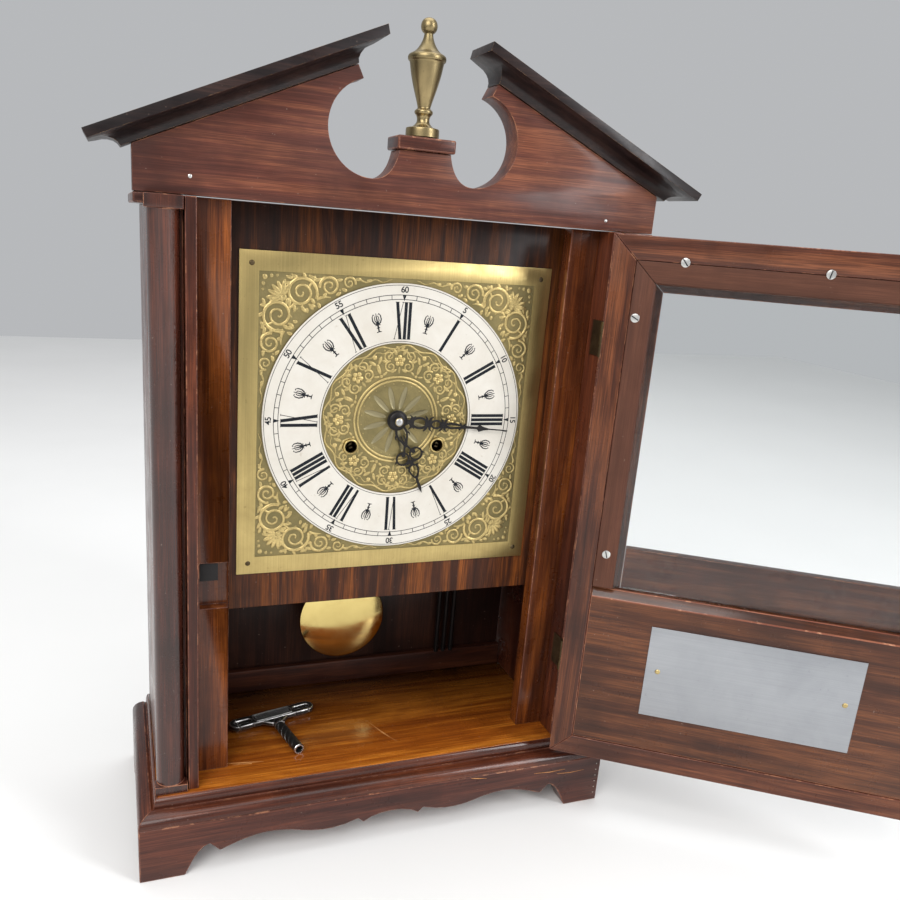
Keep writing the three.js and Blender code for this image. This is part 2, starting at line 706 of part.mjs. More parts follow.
// Hands: a slim blade in the (x, z) plane pointing up, with a round boss
function handShape(length, bossRadius, width) {
  const shape = new THREE.Shape();
  const neck = bossRadius * 0.92;
  shape.absarc(0, 0, bossRadius, radians(90) + 0.4, radians(90) - 0.4, false);
  shape.lineTo(width * 0.45, neck + length * 0.06);
  shape.quadraticCurveTo(width, length * 0.26, width * 0.75, length * 0.42);
  shape.quadraticCurveTo(width * 0.25, length * 0.55, width * 0.55, length * 0.66);
  shape.lineTo(0, length);
  shape.lineTo(-width * 0.55, length * 0.66);
  shape.quadraticCurveTo(-width * 0.25, length * 0.55, -width * 0.75, length * 0.42);
  shape.quadraticCurveTo(-width, length * 0.26, -width * 0.45, neck + length * 0.06);
  return shape;
}

const hourHandY = -2.2 - handThickness;
const hourHandBlank = plateY(
  withHoles(handShape(hourHandLength, 8.5, 6.5), [disc(3.2, 0, 0, 12)]),
  hourHandY, hourHandY + handThickness, 5,
);
hourHandBlank.rotateY(radians(hourHandTurn));
const hourPipe = plateY(withHoles(disc(4.6, 0, 0, 16), [disc(3.2, 0, 0, 12)]), hourHandY, hourWheelY + 1);
const hourWheel = plateY(
  withHoles(gearShape(40, hourModule, hourTurn), [disc(3.2, 0, 0, 12)]), hourWheelY, hourWheelY + 1.8,
);
addPiece(clock, 'hour_hand', join(hourHandBlank, hourPipe, hourWheel), blackSteel).position.set(0, 0, dialZ);

const minuteHandY = hourHandY - 0.9 - handThickness;
const minuteHandBlank = plateY(
  withHoles(handShape(minuteHandLength, 7, 5), [disc(2.4 + gap, 0, 0, 12)]),
  minuteHandY, minuteHandY + handThickness, 5,
);
minuteHandBlank.rotateY(radians(minuteHandTurn));
addPiece(centreArbor, 'minute_hand', minuteHandBlank, blackSteel);

// ---- Pendulum -----------------------------------------------------------------------------
// Built hanging straight down from its pivot, then leaned
const pendulum = new THREE.Group();
pendulum.position.set(0, pendulumY, pendulumZ);
pendulum.rotation.y = radians(pendulumLean);
clock.add(pendulum);
const bobDrop = pendulumZ - floorTop - bobAboveFloor;
const nutDrop = bobDrop + 22;
addPiece(pendulum, 'pendulum_rod', join(
  rodZ(rodRadius, -(nutDrop + 14), -8, 10),
  block(-2.2, 2.2, -0.3, 0.3, -9, 1.4),
), blueSteel);

function lensBob() {
  const half = bobThickness / 2;
  const lens = turnedY([
    [0, -half], [bobRadius * 0.5, -half * 0.82], [bobRadius * 0.85, -half * 0.4], [bobRadius, -0.8],
    [bobRadius, 0.8], [bobRadius * 0.85, half * 0.4], [bobRadius * 0.5, half * 0.82], [0, half],
  ], 40);
  const bore = rodRadius + gap;
  const slot = block(-bore, bore, -bore, half + 1, -bobRadius - 1, bobRadius + 1);
  const pocket = block(-8, 8, -half + 2.5, half + 1, -22 - 4.5, -22 + 4.5);
  return cut(lens, slot, pocket);
}
addPiece(pendulum, 'pendulum_bob', lensBob(), polishedBrass).position.z = -bobDrop;
const nutRadius = bobThickness / 2 - 2.8;
const nutProfile = [
  [rodRadius + gap, -3.4], [nutRadius, -3.4], [nutRadius, 3.4], [rodRadius + gap, 3.4],
  [rodRadius + gap, -3.4],
];
addPiece(pendulum, 'rating_nut', turnedZ(nutProfile, 14), agedBrass).position.z = -nutDrop;

// Anchor above the escape wheel, with the crutch that embraces the rod
const anchor = new THREE.Group();
anchor.position.set(0, 0, pendulumZ);
anchor.rotation.y = radians(pendulumLean);
clock.add(anchor);
const anchorShape = outline([
  [-12.5, -14], [-16, -13], [-15, -4], [-8, 3], [8, 3], [15, -4],
  [16, -13], [12.5, -14], [10.5, -5], [6, -3.2], [-6, -3.2], [-10.5, -5],
]);
const crutchY = backPlateBack + 1.2;
addPiece(anchor, 'anchor', join(
  plateY(anchorShape, escapeWheelY - 0.5, escapeWheelY + 2),
  rodY(1.4, escapeWheelY - 3, crutchY + 1.8, 10),
  block(-1.5, 1.5, crutchY, crutchY + 1.6, -46, 0),
  block(-4.5, 4.5, crutchY, pendulumY - rodRadius - 1, -46, -43),
  block(-4.5, -rodRadius - gap, pendulumY - rodRadius - 2, pendulumY + 3, -46, -43),
  block(rodRadius + gap, 4.5, pendulumY - rodRadius - 2, pendulumY + 3, -46, -43),
), blueSteel);

// ---- Strike hammer and gong ---------------------------------------------------------------
const gongX = 100;
const gongY = backFace - 8;
const gongTop = dialZ - 20;
const gongRods = [-8, 0, 8].map((x) => (
  rodZ(gongRodRadius, floorTop + 22, gongTop + 4, 10).translate(gongX + x, gongY, 0)));
addPiece(clock, 'gong', join(
  block(gongX - 13, gongX + 13, gongY - 7, backFace - gap, gongTop, gongTop + 24), ...gongRods,
), blueSteel);
// the hammer is cranked back from its stud, and its head rests beside the first rod
const headX = gongX - 8 - gongRodRadius - 7.5 - hammerPivot[0];
const headY = gongY - hammerPivot[1];
const hammerHead = turnedZ([[0, -5], [4, -5], [4, 5], [0, 5]], 14);
hammerHead.rotateY(Math.PI / 2).translate(headX, headY, -42);
addPiece(clock, 'hammer', join(
  plateY(withHoles(disc(4, 0, 0, 14), [disc(hammerStudRadius + gap, 0, 0, 12)]), gap - 6, 3),
  block(-1, 1, -1, 1, -30, -3),
  block(-1, 1, -1, headY + 1, -31, -29),
  block(-1, headX + 1, headY - 1, headY + 1, -31, -29),
  block(headX - 1, headX + 1, headY - 1, headY + 1, -42, -29),
  hammerHead,
), blueSteel).position.set(...hammerPivot);

// ---- Winding key on the floor board -------------------------------------------------------
function windingKey() {
  const half = keyLength / 2;
  const wing = new THREE.Shape();
  wing.absarc(half - 7, 0, 7, -Math.PI / 2, Math.PI / 2, false);
  wing.absarc(-half + 7, 0, 7, Math.PI / 2, 1.5 * Math.PI, false);
  const slots = [-half + 19, half - 19].map((x) => block(x - 8.5, x + 8.5, -2.8, 2.8, -3, 3));
  const plate = plateZ(wing, -2.4, 2.4, 5);
  const tube = turnedY([[0, -52], [keyTubeRadius, -52], [keyTubeRadius, -4], [0, -4]], 14);
  const bore = turnedY([[0, -53], [2.6, -53], [2.6, -36], [0, -36]], 4);
  return cut(join(plate, tube), bore, ...slots);
}
const key = addPiece(clock, 'winding_key', windingKey(), blackSteel);
key.position.set(-84, 46, floorTop + gap + keyTubeRadius);
key.rotation.z = radians(14);

// ---- Back ---------------------------------------------------------------------------------
const rearTop = boardTop - rearDoorBelowTop;
const rearBottom = rearTop - rearDoorHeight;
const rearHalf = rearDoorWidth / 2;
const backShape = withHoles(squareShape(innerHalf - gap, sideBottom, sideTop), [
  outline([[-rearHalf, rearBottom], [rearHalf, rearBottom], [rearHalf, rearTop], [-rearHalf, rearTop]]),
]);
addPiece(clock, 'back_panel', plateY(backShape, backFace, caseBack), mahogany);
const rearGap = 1.2;
addPiece(clock, 'rear_door', block(
  -rearHalf + rearGap, rearHalf - rearGap, backFace + 1, caseBack, rearBottom + rearGap, rearTop - rearGap,
), mahogany);
const buttonX = -rearHalf - 7;
const buttonZ = (rearTop + rearBottom) / 2;
addPiece(clock, 'rear_button', join(
  block(-4, 4, caseBack + gap, caseBack + 3, -4, 16),
  rodY(3, caseBack + 2, caseBack + 4.2, 12),
), agedBrass).position.set(buttonX, 0, buttonZ);

// ---- Front door ---------------------------------------------------------------------------
// Built closed about its hinge pin, then swung open
const pin = { x: doorHalf + doorSideClearance / 2, y: jambFront - hingeRadius - gap };
const door = new THREE.Group();
door.position.set(pin.x, pin.y, 0);
door.rotation.z = radians(doorOpenAngle);
clock.add(door);
const hang = (geometry) => geometry.translate(-pin.x, -pin.y, 0);

// Frame members have a wide lip in front and a narrower part behind it, and mitred corners
const lipBack = doorFront + doorLipThickness;
const memberSection = [
  [0, doorFront], [doorFrameWidth, doorFront], [doorFrameWidth, lipBack],
  [doorBackWidth, lipBack], [doorBackWidth, doorBack], [0, doorBack],
];
const mitre = gap * 0.7;
function stileMember(side) {
  return run(
    memberSection,
    ([inset, y]) => [side * (doorHalf - inset), y, doorBottom + inset + mitre],
    ([inset, y]) => [side * (doorHalf - inset), y, doorTop - inset - mitre],
  );
}
function railMember(edgeZ, inward) {
  return run(
    memberSection,
    ([inset, y]) => [-(doorHalf - inset - mitre), y, edgeZ + inward * inset],
    ([inset, y]) => [doorHalf - inset - mitre, y, edgeZ + inward * inset],
  );
}
const latchHole = () => (
  rodY(spindleRadius + gap, doorFront - 1, doorBack + 1, 12).translate(latchX, 0, latchZ));
addPiece(door, 'door_stile_hinge', hang(stileMember(1)), mahogany);
addPiece(door, 'door_stile_latch', hang(cut(stileMember(-1), latchHole())), mahogany);
addPiece(door, 'door_rail_top', hang(railMember(doorTop, -1)), mahogany);
addPiece(door, 'door_rail_bottom', hang(railMember(doorBottom, 1)), mahogany);

// Middle rail in the lip's plane, and the lower panel behind it
const openingHalf = doorHalf - doorFrameWidth - gap;
addPiece(door, 'door_rail_middle', hang(
  block(-openingHalf, openingHalf, doorFront, lipBack, glassBottom - 12, glassBottom + 35),
), mahogany);
const fieldHalf = doorHalf - doorBackWidth - gap;
const panelBack = doorBack - 0.8;
const panelTop = glassBottom - 0.6;
const panelSection = [
  [lipBack + gap, doorBottom + doorBackWidth + gap], [panelBack, doorBottom + doorBackWidth + gap],
  [panelBack, panelTop - 7], [panelBack - 5, panelTop], [lipBack + gap, panelTop],
];
addPiece(door, 'door_panel', hang(plateX(outline(panelSection), -fieldHalf, fieldHalf)), mahogany);

// Glass, held by three beads
const glassFront = lipBack + gap;
const glassBack = glassFront + glassThickness;
const glassHalf = fieldHalf - 0.7;
addPiece(door, 'door_glass', hang(block(
  -glassHalf, glassHalf, glassFront, glassBack, glassBottom, doorTop - doorBackWidth - 1,
)), clearGlass);
const beadSection = [
  [doorBackWidth + gap, glassBack + gap], [doorBackWidth + beadWidth, glassBack + gap],
  [doorBackWidth + beadWidth, doorBack + beadProud - 1.5],
  [doorBackWidth + beadWidth - 1.5, doorBack + beadProud],
  [doorBackWidth + gap, doorBack + beadProud],
];
for (const [side, name] of [[-1, 'latch'], [1, 'hinge']]) {
  addPiece(door, `bead_${name}`, hang(run(
    beadSection,
    ([inset, y]) => [side * (doorHalf - inset), y, glassBottom + 2],
    ([inset, y]) => [side * (doorHalf - inset), y, doorTop - inset - mitre],
  )), mahogany);
}
addPiece(door, 'bead_top', hang(run(
  beadSection,
  ([inset, y]) => [-(doorHalf - inset - mitre), y, doorTop - inset],
  ([inset, y]) => [doorHalf - inset - mitre, y, doorTop - inset],
)), mahogany);

// Plain metal plaque on the panel's inner face
const plaqueHalf = 84;
const plaqueMiddle = doorBottom + 93;
addPiece(door, 'plaque', hang(block(
  -plaqueHalf, plaqueHalf, panelBack + gap, panelBack + gap + 0.7, plaqueMiddle - 41, plaqueMiddle + 41,
)), aluminium);

// Knob, spindle and the tongue that turns behind the catch plate
const knob = new THREE.Group();
knob.position.set(latchX - pin.x, -pin.y, latchZ);
door.add(knob);
addPiece(knob, 'door_knob', join(
  turnedY([
    [0, doorFront - 15], [knobRadius * 0.7, doorFront - 14],
    [knobRadius, doorFront - 10.5], [knobRadius * 0.8, doorFront - 7],
    [knobRadius * 0.45, doorFront - 5], [knobRadius * 0.45, doorFront - 2],
    [knobRadius * 0.9, doorFront - gap],
    [0, doorFront - gap],
  ], 18),
  rodY(spindleRadius, doorFront - 1, stileFace + 4.4, 12),
  block(-spindleRadius, spindleRadius, stileFace + 2.6, stileFace + 4.4, -tongueLength, 0),
), agedBrass);

// Butt hinges: the case leaf carries the pin and the outer knuckles
function knuckle(z0, z1, outer, inner = 0) {
  const ring = disc(outer, 0, 0, 14);
  return plateZ(inner ? withHoles(ring, [disc(inner, 0, 0, 12)]) : ring, z0, z1);
}
const third = hingeHeight / 3;
const leafEdge = hingeRadius + gap;
for (const [name, z] of [['upper', doorTop - hingeInset], ['lower', doorBottom + hingeInset]]) {
  const low = -hingeHeight / 2;
  const caseX = jambInner - gap - leafThickness - pin.x;
  const caseLeaf = join(
    block(caseX, caseX + leafThickness, leafEdge, leafWidth, low, -low),
    block(0, caseX + leafThickness, 1, leafEdge + 0.6, low, low + third),
    block(0, caseX + leafThickness, 1, leafEdge + 0.6, -low - third, -low),
    knuckle(low, low + third, hingeRadius),
    knuckle(-low - third, -low, hingeRadius),
    knuckle(low + 1, -low - 1, 1.1),
  );
  addPiece(clock, `hinge_${name}_case`, caseLeaf, agedBrass).position.set(pin.x, pin.y, z);
  const doorX = doorHalf + 0.1 - pin.x;
  const bored = cut(
    join(
      block(doorX, doorX + leafThickness, leafEdge, leafWidth, low, -low),
      block(doorX, 0, 1, leafEdge + 0.6, low + third + gap, -low - third - gap),
      knuckle(low + third + gap, -low - third - gap, hingeRadius),
    ),
    knuckle(low, -low, 1.1 + gap),
  );
  addPiece(door, `hinge_${name}_door`, bored, agedBrass).position.z = z;
}

// ---- Origin: the middle of the clock's underside, with the door as it stands ---------------
clock.updateMatrixWorld(true);
const bounds = new THREE.Box3().setFromObject(clock, true);
clock.position.set(-(bounds.min.x + bounds.max.x) / 2, -(bounds.min.y + bounds.max.y) / 2, -bounds.min.z);

export default clock;
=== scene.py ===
import json
import math

import bpy
from mathutils import Matrix, Vector

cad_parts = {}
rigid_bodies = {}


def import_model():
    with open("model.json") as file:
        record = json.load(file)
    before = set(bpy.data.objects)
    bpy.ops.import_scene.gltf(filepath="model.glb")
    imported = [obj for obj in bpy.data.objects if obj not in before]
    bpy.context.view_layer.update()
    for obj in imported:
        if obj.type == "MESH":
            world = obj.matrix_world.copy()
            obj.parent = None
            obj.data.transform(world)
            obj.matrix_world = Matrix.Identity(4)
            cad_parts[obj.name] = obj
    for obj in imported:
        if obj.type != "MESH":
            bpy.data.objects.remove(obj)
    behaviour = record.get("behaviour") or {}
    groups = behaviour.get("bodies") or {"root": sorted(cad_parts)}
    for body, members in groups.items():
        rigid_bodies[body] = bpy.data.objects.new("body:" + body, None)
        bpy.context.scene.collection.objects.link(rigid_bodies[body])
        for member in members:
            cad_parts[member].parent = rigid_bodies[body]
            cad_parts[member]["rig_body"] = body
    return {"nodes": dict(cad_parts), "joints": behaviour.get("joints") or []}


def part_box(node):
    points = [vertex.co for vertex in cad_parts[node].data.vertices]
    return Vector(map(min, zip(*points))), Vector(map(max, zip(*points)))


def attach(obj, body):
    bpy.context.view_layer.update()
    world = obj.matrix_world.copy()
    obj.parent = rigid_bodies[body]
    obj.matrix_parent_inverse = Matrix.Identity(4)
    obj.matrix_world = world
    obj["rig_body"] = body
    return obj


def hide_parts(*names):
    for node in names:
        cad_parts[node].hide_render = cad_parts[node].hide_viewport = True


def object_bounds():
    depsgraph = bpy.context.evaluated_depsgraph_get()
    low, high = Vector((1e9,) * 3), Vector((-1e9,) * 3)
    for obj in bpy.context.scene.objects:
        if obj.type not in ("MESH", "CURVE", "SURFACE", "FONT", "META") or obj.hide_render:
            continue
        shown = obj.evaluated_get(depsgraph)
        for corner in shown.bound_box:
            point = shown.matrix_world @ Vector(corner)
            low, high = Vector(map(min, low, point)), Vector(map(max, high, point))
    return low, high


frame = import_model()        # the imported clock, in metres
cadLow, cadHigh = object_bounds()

print("frame loaded:", len(frame["nodes"]), "nodes")

mm = 0.001
joints = {joint["name"]: joint for joint in frame["joints"]}
bodyOf = {node: piece["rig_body"] for node, piece in frame["nodes"].items()}
dialLow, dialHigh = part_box("dial_plate")
caseX = (dialLow.x + dialHigh.x) / 2
caseY = dialLow.y
dialZ = (dialLow.z + dialHigh.z) / 2 / mm
doorPin = Vector(joints["front_door_hinge"]["pos_m"])
doorTurn = math.radians(-joints["front_door_hinge"]["range_deg"][0])  # how far the door stands open
origin = Vector((0, 0, 0))
doorSwing = Matrix.Translation(doorPin) @ Matrix.Rotation(doorTurn, 4, "Z") @ Matrix.Translation(-doorPin)


def at(x, y, z):
    # millimetres from the dial's centre line, the dial plate's front and the shelf
    return Vector((caseX + x * mm, caseY + y * mm, z * mm))


def span(node):
    # a node's lowest and highest corners in those millimetres
    return [Vector(((p.x - caseX) / mm, (p.y - caseY) / mm, p.z / mm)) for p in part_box(node)]


# ---- handling pieces

def pick(*pieces):
    bpy.ops.object.select_all(action="DESELECT")
    for piece in pieces:
        piece.select_set(True)
    if pieces:
        bpy.context.view_layer.objects.active = pieces[0]


def editAll(*steps):
    # runs edit-mode steps on the picked piece, each with all of it selected
    bpy.ops.object.mode_set(mode="EDIT")
    for step in steps:
        bpy.ops.mesh.select_all(action="SELECT")
        step()
    bpy.ops.object.mode_set(mode="OBJECT")


def shapeWith(piece, kind, **settings):
    pick(piece)
    modifier = piece.modifiers.new(kind.title(), kind)
    for key, value in settings.items():
        setattr(modifier, key, value)
    bpy.ops.object.modifier_apply(modifier=modifier.name)


def cutWith(piece, cutter):
    shapeWith(piece, "BOOLEAN", object=cutter, operation="DIFFERENCE", solver="EXACT")
    bpy.data.objects.remove(cutter)


def joined(pieces):
    pick(*pieces)
    if len(pieces) > 1:
        bpy.ops.object.join()
    return bpy.context.object


def copied(piece, matrix):
    twin = bpy.data.objects.new(piece.name, piece.data.copy())
    bpy.context.scene.collection.objects.link(twin)
    twin.data.transform(matrix)
    return twin


def dressed(piece, *finishes):
    piece.data.materials.clear()
    for finish in finishes:
        piece.data.materials.append(finish)
    return piece


def settle(piece, name, body, look=None, smooth=35, stands=()):
    pick(piece)
    bpy.ops.object.transform_apply(location=True, rotation=True, scale=True)
    bpy.ops.object.shade_smooth_by_angle(angle=math.radians(smooth))
    piece.name = name
    if look:
        dressed(piece, look)
    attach(piece, body)
    if stands:
        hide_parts(*stands)
    return piece


def flatBlank(outline, front, back, place=at):
    # a flat blank with this outline in (x, z), given its thickness along y
    pick()
    bpy.ops.mesh.primitive_circle_add(vertices=len(outline), radius=1, fill_type="NGON")
    blank = bpy.context.object
    for vertex, (x, z) in zip(blank.data.vertices, outline):
        vertex.co = place(x, front, z)
    rise = place(0, back, 0) - place(0, front, 0)
    editAll(
        lambda: bpy.ops.mesh.extrude_region_move(TRANSFORM_OT_translate={"value": rise}),
        lambda: bpy.ops.mesh.normals_make_consistent(inside=False),
    )
    return blank


def turnedPiece(profile, centre, axis="Z", steps=48):
    # a circle's points take the profile's places, [radius, rise], and are spun round the axis
    pick()
    bpy.ops.mesh.primitive_circle_add(vertices=len(profile), radius=1)
    piece = bpy.context.object
    for vertex, (radius, rise) in zip(piece.data.vertices, profile):
        vertex.co = (radius * mm, 0, rise * mm) if axis == "Z" else (radius * mm, rise * mm, 0)
    direction = (0, 0, 1) if axis == "Z" else (0, 1, 0)
    editAll(
        lambda: bpy.ops.mesh.spin(steps=steps, angle=math.tau, center=(0, 0, 0), axis=direction),
        lambda: bpy.ops.mesh.remove_doubles(threshold=1e-6),
        lambda: bpy.ops.mesh.delete_loose(),
        lambda: bpy.ops.mesh.normals_make_consistent(inside=False),
    )
    piece.data.transform(Matrix.Translation(centre))
    return piece


def smoothProfile(points):
    # corners are eased by cutting them twice, the ends stay
    for _ in range(2):
        eased = [points[0]]
        for (r0, z0), (r1, z1) in zip(points, points[1:]):
            eased += [(r0 * (1 - cut) + r1 * cut, z0 * (1 - cut) + z1 * cut) for cut in (0.25, 0.75)]
        points = eased + [points[-1]]
    return points


def ribbonOutline(path, widths):
    # the outline of a strip along a path, as wide at each point as widths says
    left, right = [], []
    for i, (x, z) in enumerate(path):
        ahead, behind = path[min(i + 1, len(path) - 1)], path[max(i - 1, 0)]
        run, rise = ahead[0] - behind[0], ahead[1] - behind[1]
        length = math.hypot(run, rise) or 1
        half = widths[i] / 2
        left.append((x - rise / length * half, z + run / length * half))
        right.append((x + rise / length * half, z - run / length * half))
    return left + right[::-1]


def stripPiece(path, widths, front, back, place=at):
    # a flat strip along a path, made of quads so that it can close on itself
    outline = ribbonOutline(path, widths)
    count = len(path)
    pick()
    bpy.ops.mesh.primitive_grid_add(x_subdivisions=count - 1, y_subdivisions=1)
    strip = bpy.context.object
    for vertex, (x, z) in zip(strip.data.vertices, outline[:count] + outline[:count - 1:-1]):
        vertex.co = place(x, front, z)
    rise = place(0, back, 0) - place(0, front, 0)
    editAll(
        lambda: bpy.ops.mesh.remove_doubles(threshold=1e-6),
        lambda: bpy.ops.mesh.extrude_region_move(TRANSFORM_OT_translate={"value": rise}),
        lambda: bpy.ops.mesh.normals_make_consistent(inside=False),
    )
    return strip


def wire(points, radii, depth):
    # a round, capped wire through points given in metres
    curve = bpy.data.curves.new("wire", "CURVE")
    curve.dimensions = "3D"
    curve.bevel_depth = depth
    curve.bevel_resolution = 2
    curve.use_fill_caps = True
    spline = curve.splines.new("POLY")
    spline.points.add(len(points) - 1)
    for point, place, radius in zip(spline.points, points, radii):
        point.co = (*place, 1)
        point.radius = radius
    piece = bpy.data.objects.new("wire", curve)
    bpy.context.scene.collection.objects.link(piece)
    pick(piece)
    bpy.ops.object.convert(target="MESH")
    return bpy.context.object


def ridge(path, plane, place=at):
    # a rounded ridge along a path of (x, z, thickness)
    return wire([place(x, plane, z) for x, z, thick in path], [thick for x, z, thick in path], mm)


def block(place, size, turn=0):
    # a box about a place, in mm from the origin, turned about y
    pick()
    bpy.ops.mesh.primitive_cube_add(size=mm)
    made = bpy.context.object
    made.scale = size
    made.location = [value * mm for value in place]
    made.rotation_euler = (0, turn, 0)
    pick(made)
    bpy.ops.object.transform_apply(location=True, rotation=True, scale=True)
    return made


def rectangle(left, low, right, high):
    return [(left, low), (right, low), (right, high), (left, high)]


def bead(x, y, z, size, place=at, stretch=(1, 1, 1), turn=0):
    # a small ball, stretched along the axes and then turned about y
    pick()
    bpy.ops.mesh.primitive_uv_sphere_add(segments=12, ring_count=8, radius=size * mm,
                                         location=place(x, y, z))
    bpy.context.object.scale = stretch
    bpy.context.object.rotation_euler = (0, turn, 0)
    bpy.ops.object.transform_apply(location=True, rotation=True, scale=True)
    return bpy.context.object


# ---- finishes

def newLook(name):
    look = bpy.data.materials.new(name)
    look.use_nodes = True
    return look, look.node_tree, look.node_tree.nodes["Principled BSDF"]


def plug(tree, value, socket):
    # links a socket, or sets a value; a tone is given its alpha
    if isinstance(value, bpy.types.NodeSocket):
        tree.links.new(value, socket)
    elif socket.type == "RGBA" and len(value) == 3:
        socket.default_value = (*value, 1)
    else:
        socket.default_value = value


def addNode(tree, kind, inputs=(), **settings):
    made = tree.nodes.new("ShaderNode" + kind)
    for key, value in settings.items():
        setattr(made, key, value)
    for key, value in dict(inputs).items():
        plug(tree, value, made.inputs[key])
    return made


def stretched(tree, spot, scale, turn=(0, 0, 0)):
    return addNode(tree, "Mapping", {"Vector": spot, "Scale": scale, "Rotation": turn}).outputs[0]


def noise(tree, spot, scale, detail=3, rough=0.55, warp=0):
    inputs = {"Vector": spot, "Scale": scale, "Detail": detail, "Roughness": rough, "Distortion": warp}
    return addNode(tree, "TexNoise", inputs).outputs[0]


def ramp(tree, value, stops):
    made = addNode(tree, "ValToRGB", {"Fac": value})
    elements = made.color_ramp.elements
    elements.remove(elements[1])
    for i, (place, colour) in enumerate(stops):
        element = elements[0] if i == 0 else elements.new(place)
        element.position = place
        element.color = (*colour, 1) if hasattr(colour, "__len__") else (colour, colour, colour, 1)
    return made.outputs[0]


def blended(tree, amount, first, second, how="MIX"):
    made = addNode(tree, "Mix", data_type="RGBA", blend_type=how)
    plug(tree, amount, made.inputs[0])
    plug(tree, first, made.inputs[6])
    plug(tree, second, made.inputs[7])
    return made.outputs[2]


def sums(tree, how, first, second):
    made = addNode(tree, "Math", operation=how)
    plug(tree, first, made.inputs[0])
    plug(tree, second, made.inputs[1])
    return made.outputs[0]


def bumped(tree, shader, height, strength, distance):
    made = addNode(tree, "Bump", {"Height": height, "Strength": strength, "Distance": distance * mm})
    tree.links.new(made.outputs[0], shader.inputs["Normal"])


def woodLook(name, grain, tones, gloss=0.3, coat=0.5, turn=0, figure=1, streak=1, bare=0,
             bareTone=None, seed=0, shade=None):
    # stained and polished wood: broad figure, streaks and fibres along the grain, blotches, worn spots, and
    # painted shade along one axis when asked
    dark, middle, pale = tones
    look, tree, shader = newLook(name)
    spot = addNode(tree, "TexCoord").outputs["Object"]
    if turn:
        spot = stretched(tree, spot, (1, 1, 1), (0, 0, -turn))
    offset = (seed * 1.7, seed * 0.9, seed * 2.3)
    moved = addNode(tree, "Mapping", {"Vector": spot, "Location": offset}).outputs[0]

    def along(run, across):
        return stretched(tree, moved, tuple(run if axis == grain else across for axis in "XYZ"))

    broad = noise(tree, along(3.2, 24 * figure), 1, 5, 0.6, 1.1)
    bands = noise(tree, along(6, 170 * streak), 1, 4, 0.62, 0.3)
    fibres = noise(tree, along(26, 1500), 1, 2, 0.6)
    blotches = noise(tree, moved, 13, 4, 0.6, 0.5)
    mixed = sums(tree, "ADD", sums(tree, "MULTIPLY", broad, 0.55), sums(tree, "MULTIPLY", bands, 0.5))
    colour = ramp(tree, mixed, [(0.36, dark), (0.5, middle), (0.62, pale), (0.72, middle)])
    colour = blended(tree, ramp(tree, fibres, [(0.42, 0.55), (0.6, 0)]), colour, dark)
    colour = blended(tree, ramp(tree, blotches, [(0.45, 0), (0.72, 0.7)]), colour, dark)
    if bare:
        spots = noise(tree, moved, 85, 6, 0.7, 0.6)
        edge = 0.66 - 0.3 * bare
        colour = blended(tree, ramp(tree, spots, [(edge, 0), (edge + 0.07, 0.9)]), colour, bareTone)
    specks = noise(tree, moved, 420, 2, 0.5)
    colour = blended(tree, ramp(tree, specks, [(0.74, 0), (0.79, 0.5)]), colour, (0.3, 0.22, 0.18))
    if shade:
        axis, start, end, least = shade  # painted shade deepens from one place to another
        depth = addNode(tree, "SeparateXYZ", {"Vector": spot}).outputs[axis]
        limits = {"Value": depth, "From Min": start, "From Max": end, "To Min": 1, "To Max": least}
        fade = addNode(tree, "MapRange", limits).outputs[0]
        wander = sums(tree, "MULTIPLY", sums(tree, "SUBTRACT", blotches, 0.5), 0.5)
        # painted shade: the colour is multiplied darker along the axis, wandering with the blotches
        paintedShadeFactor = ramp(tree, sums(tree, "ADD", fade, wander), [(0, 0), (1, 1)])
        colour = blended(tree, 1, colour, paintedShadeFactor, "MULTIPLY")
    plug(tree, colour, shader.inputs["Base Color"])
    worn = noise(tree, moved, 34, 5, 0.65)
    plug(tree, ramp(tree, worn, [(0.3, gloss - 0.1), (0.75, gloss + 0.2)]), shader.inputs["Roughness"])
    shader.inputs["Coat Weight"].default_value = coat * 0.5
    shader.inputs["Coat Roughness"].default_value = 0.16
    shader.inputs["Specular IOR Level"].default_value = 0.2
    height = sums(tree, "ADD", sums(tree, "MULTIPLY", fibres, 0.5), sums(tree, "MULTIPLY", bands, 0.6))
    bumped(tree, shader, height, 0.16, 0.5)
    return look


def metalLook(name, tone, dull, gloss=0.35, metal=1.0, brushed=None, spots=0.5, fine=1, turn=0):
    # bare metal: tarnish in clouds and small spots, and brush marks along one axis
    look, tree, shader = newLook(name)
    spot = addNode(tree, "TexCoord").outputs["Object"]
    if turn:
        spot = stretched(tree, spot, (1, 1, 1), (0, 0, -turn))
    clouds = noise(tree, spot, 28 * fine, 6, 0.65, 0.4)
    small = noise(tree, spot, 260 * fine, 3, 0.6)
    colour = blended(tree, ramp(tree, clouds, [(0.35, 0), (0.75, spots)]), tone, dull)
    colour = blended(tree, ramp(tree, small, [(0.66, 0), (0.76, 0.55)]), colour, dull)
    rough = ramp(tree, clouds, [(0.3, gloss - 0.06), (0.8, gloss + 0.16)])
    height = small
    if brushed:
        scale = tuple(12 if axis == brushed else 1600 for axis in "XYZ")
        marks = noise(tree, stretched(tree, spot, scale), 1, 3, 0.6)
        colour = blended(tree, ramp(tree, marks, [(0.35, 0.3), (0.65, 0)]), colour, dull)
        height = marks
    plug(tree, colour, shader.inputs["Base Color"])
    plug(tree, rough, shader.inputs["Roughness"])
    shader.inputs["Metallic"].default_value = metal
    bumped(tree, shader, height, 0.12, 0.15)
    return look


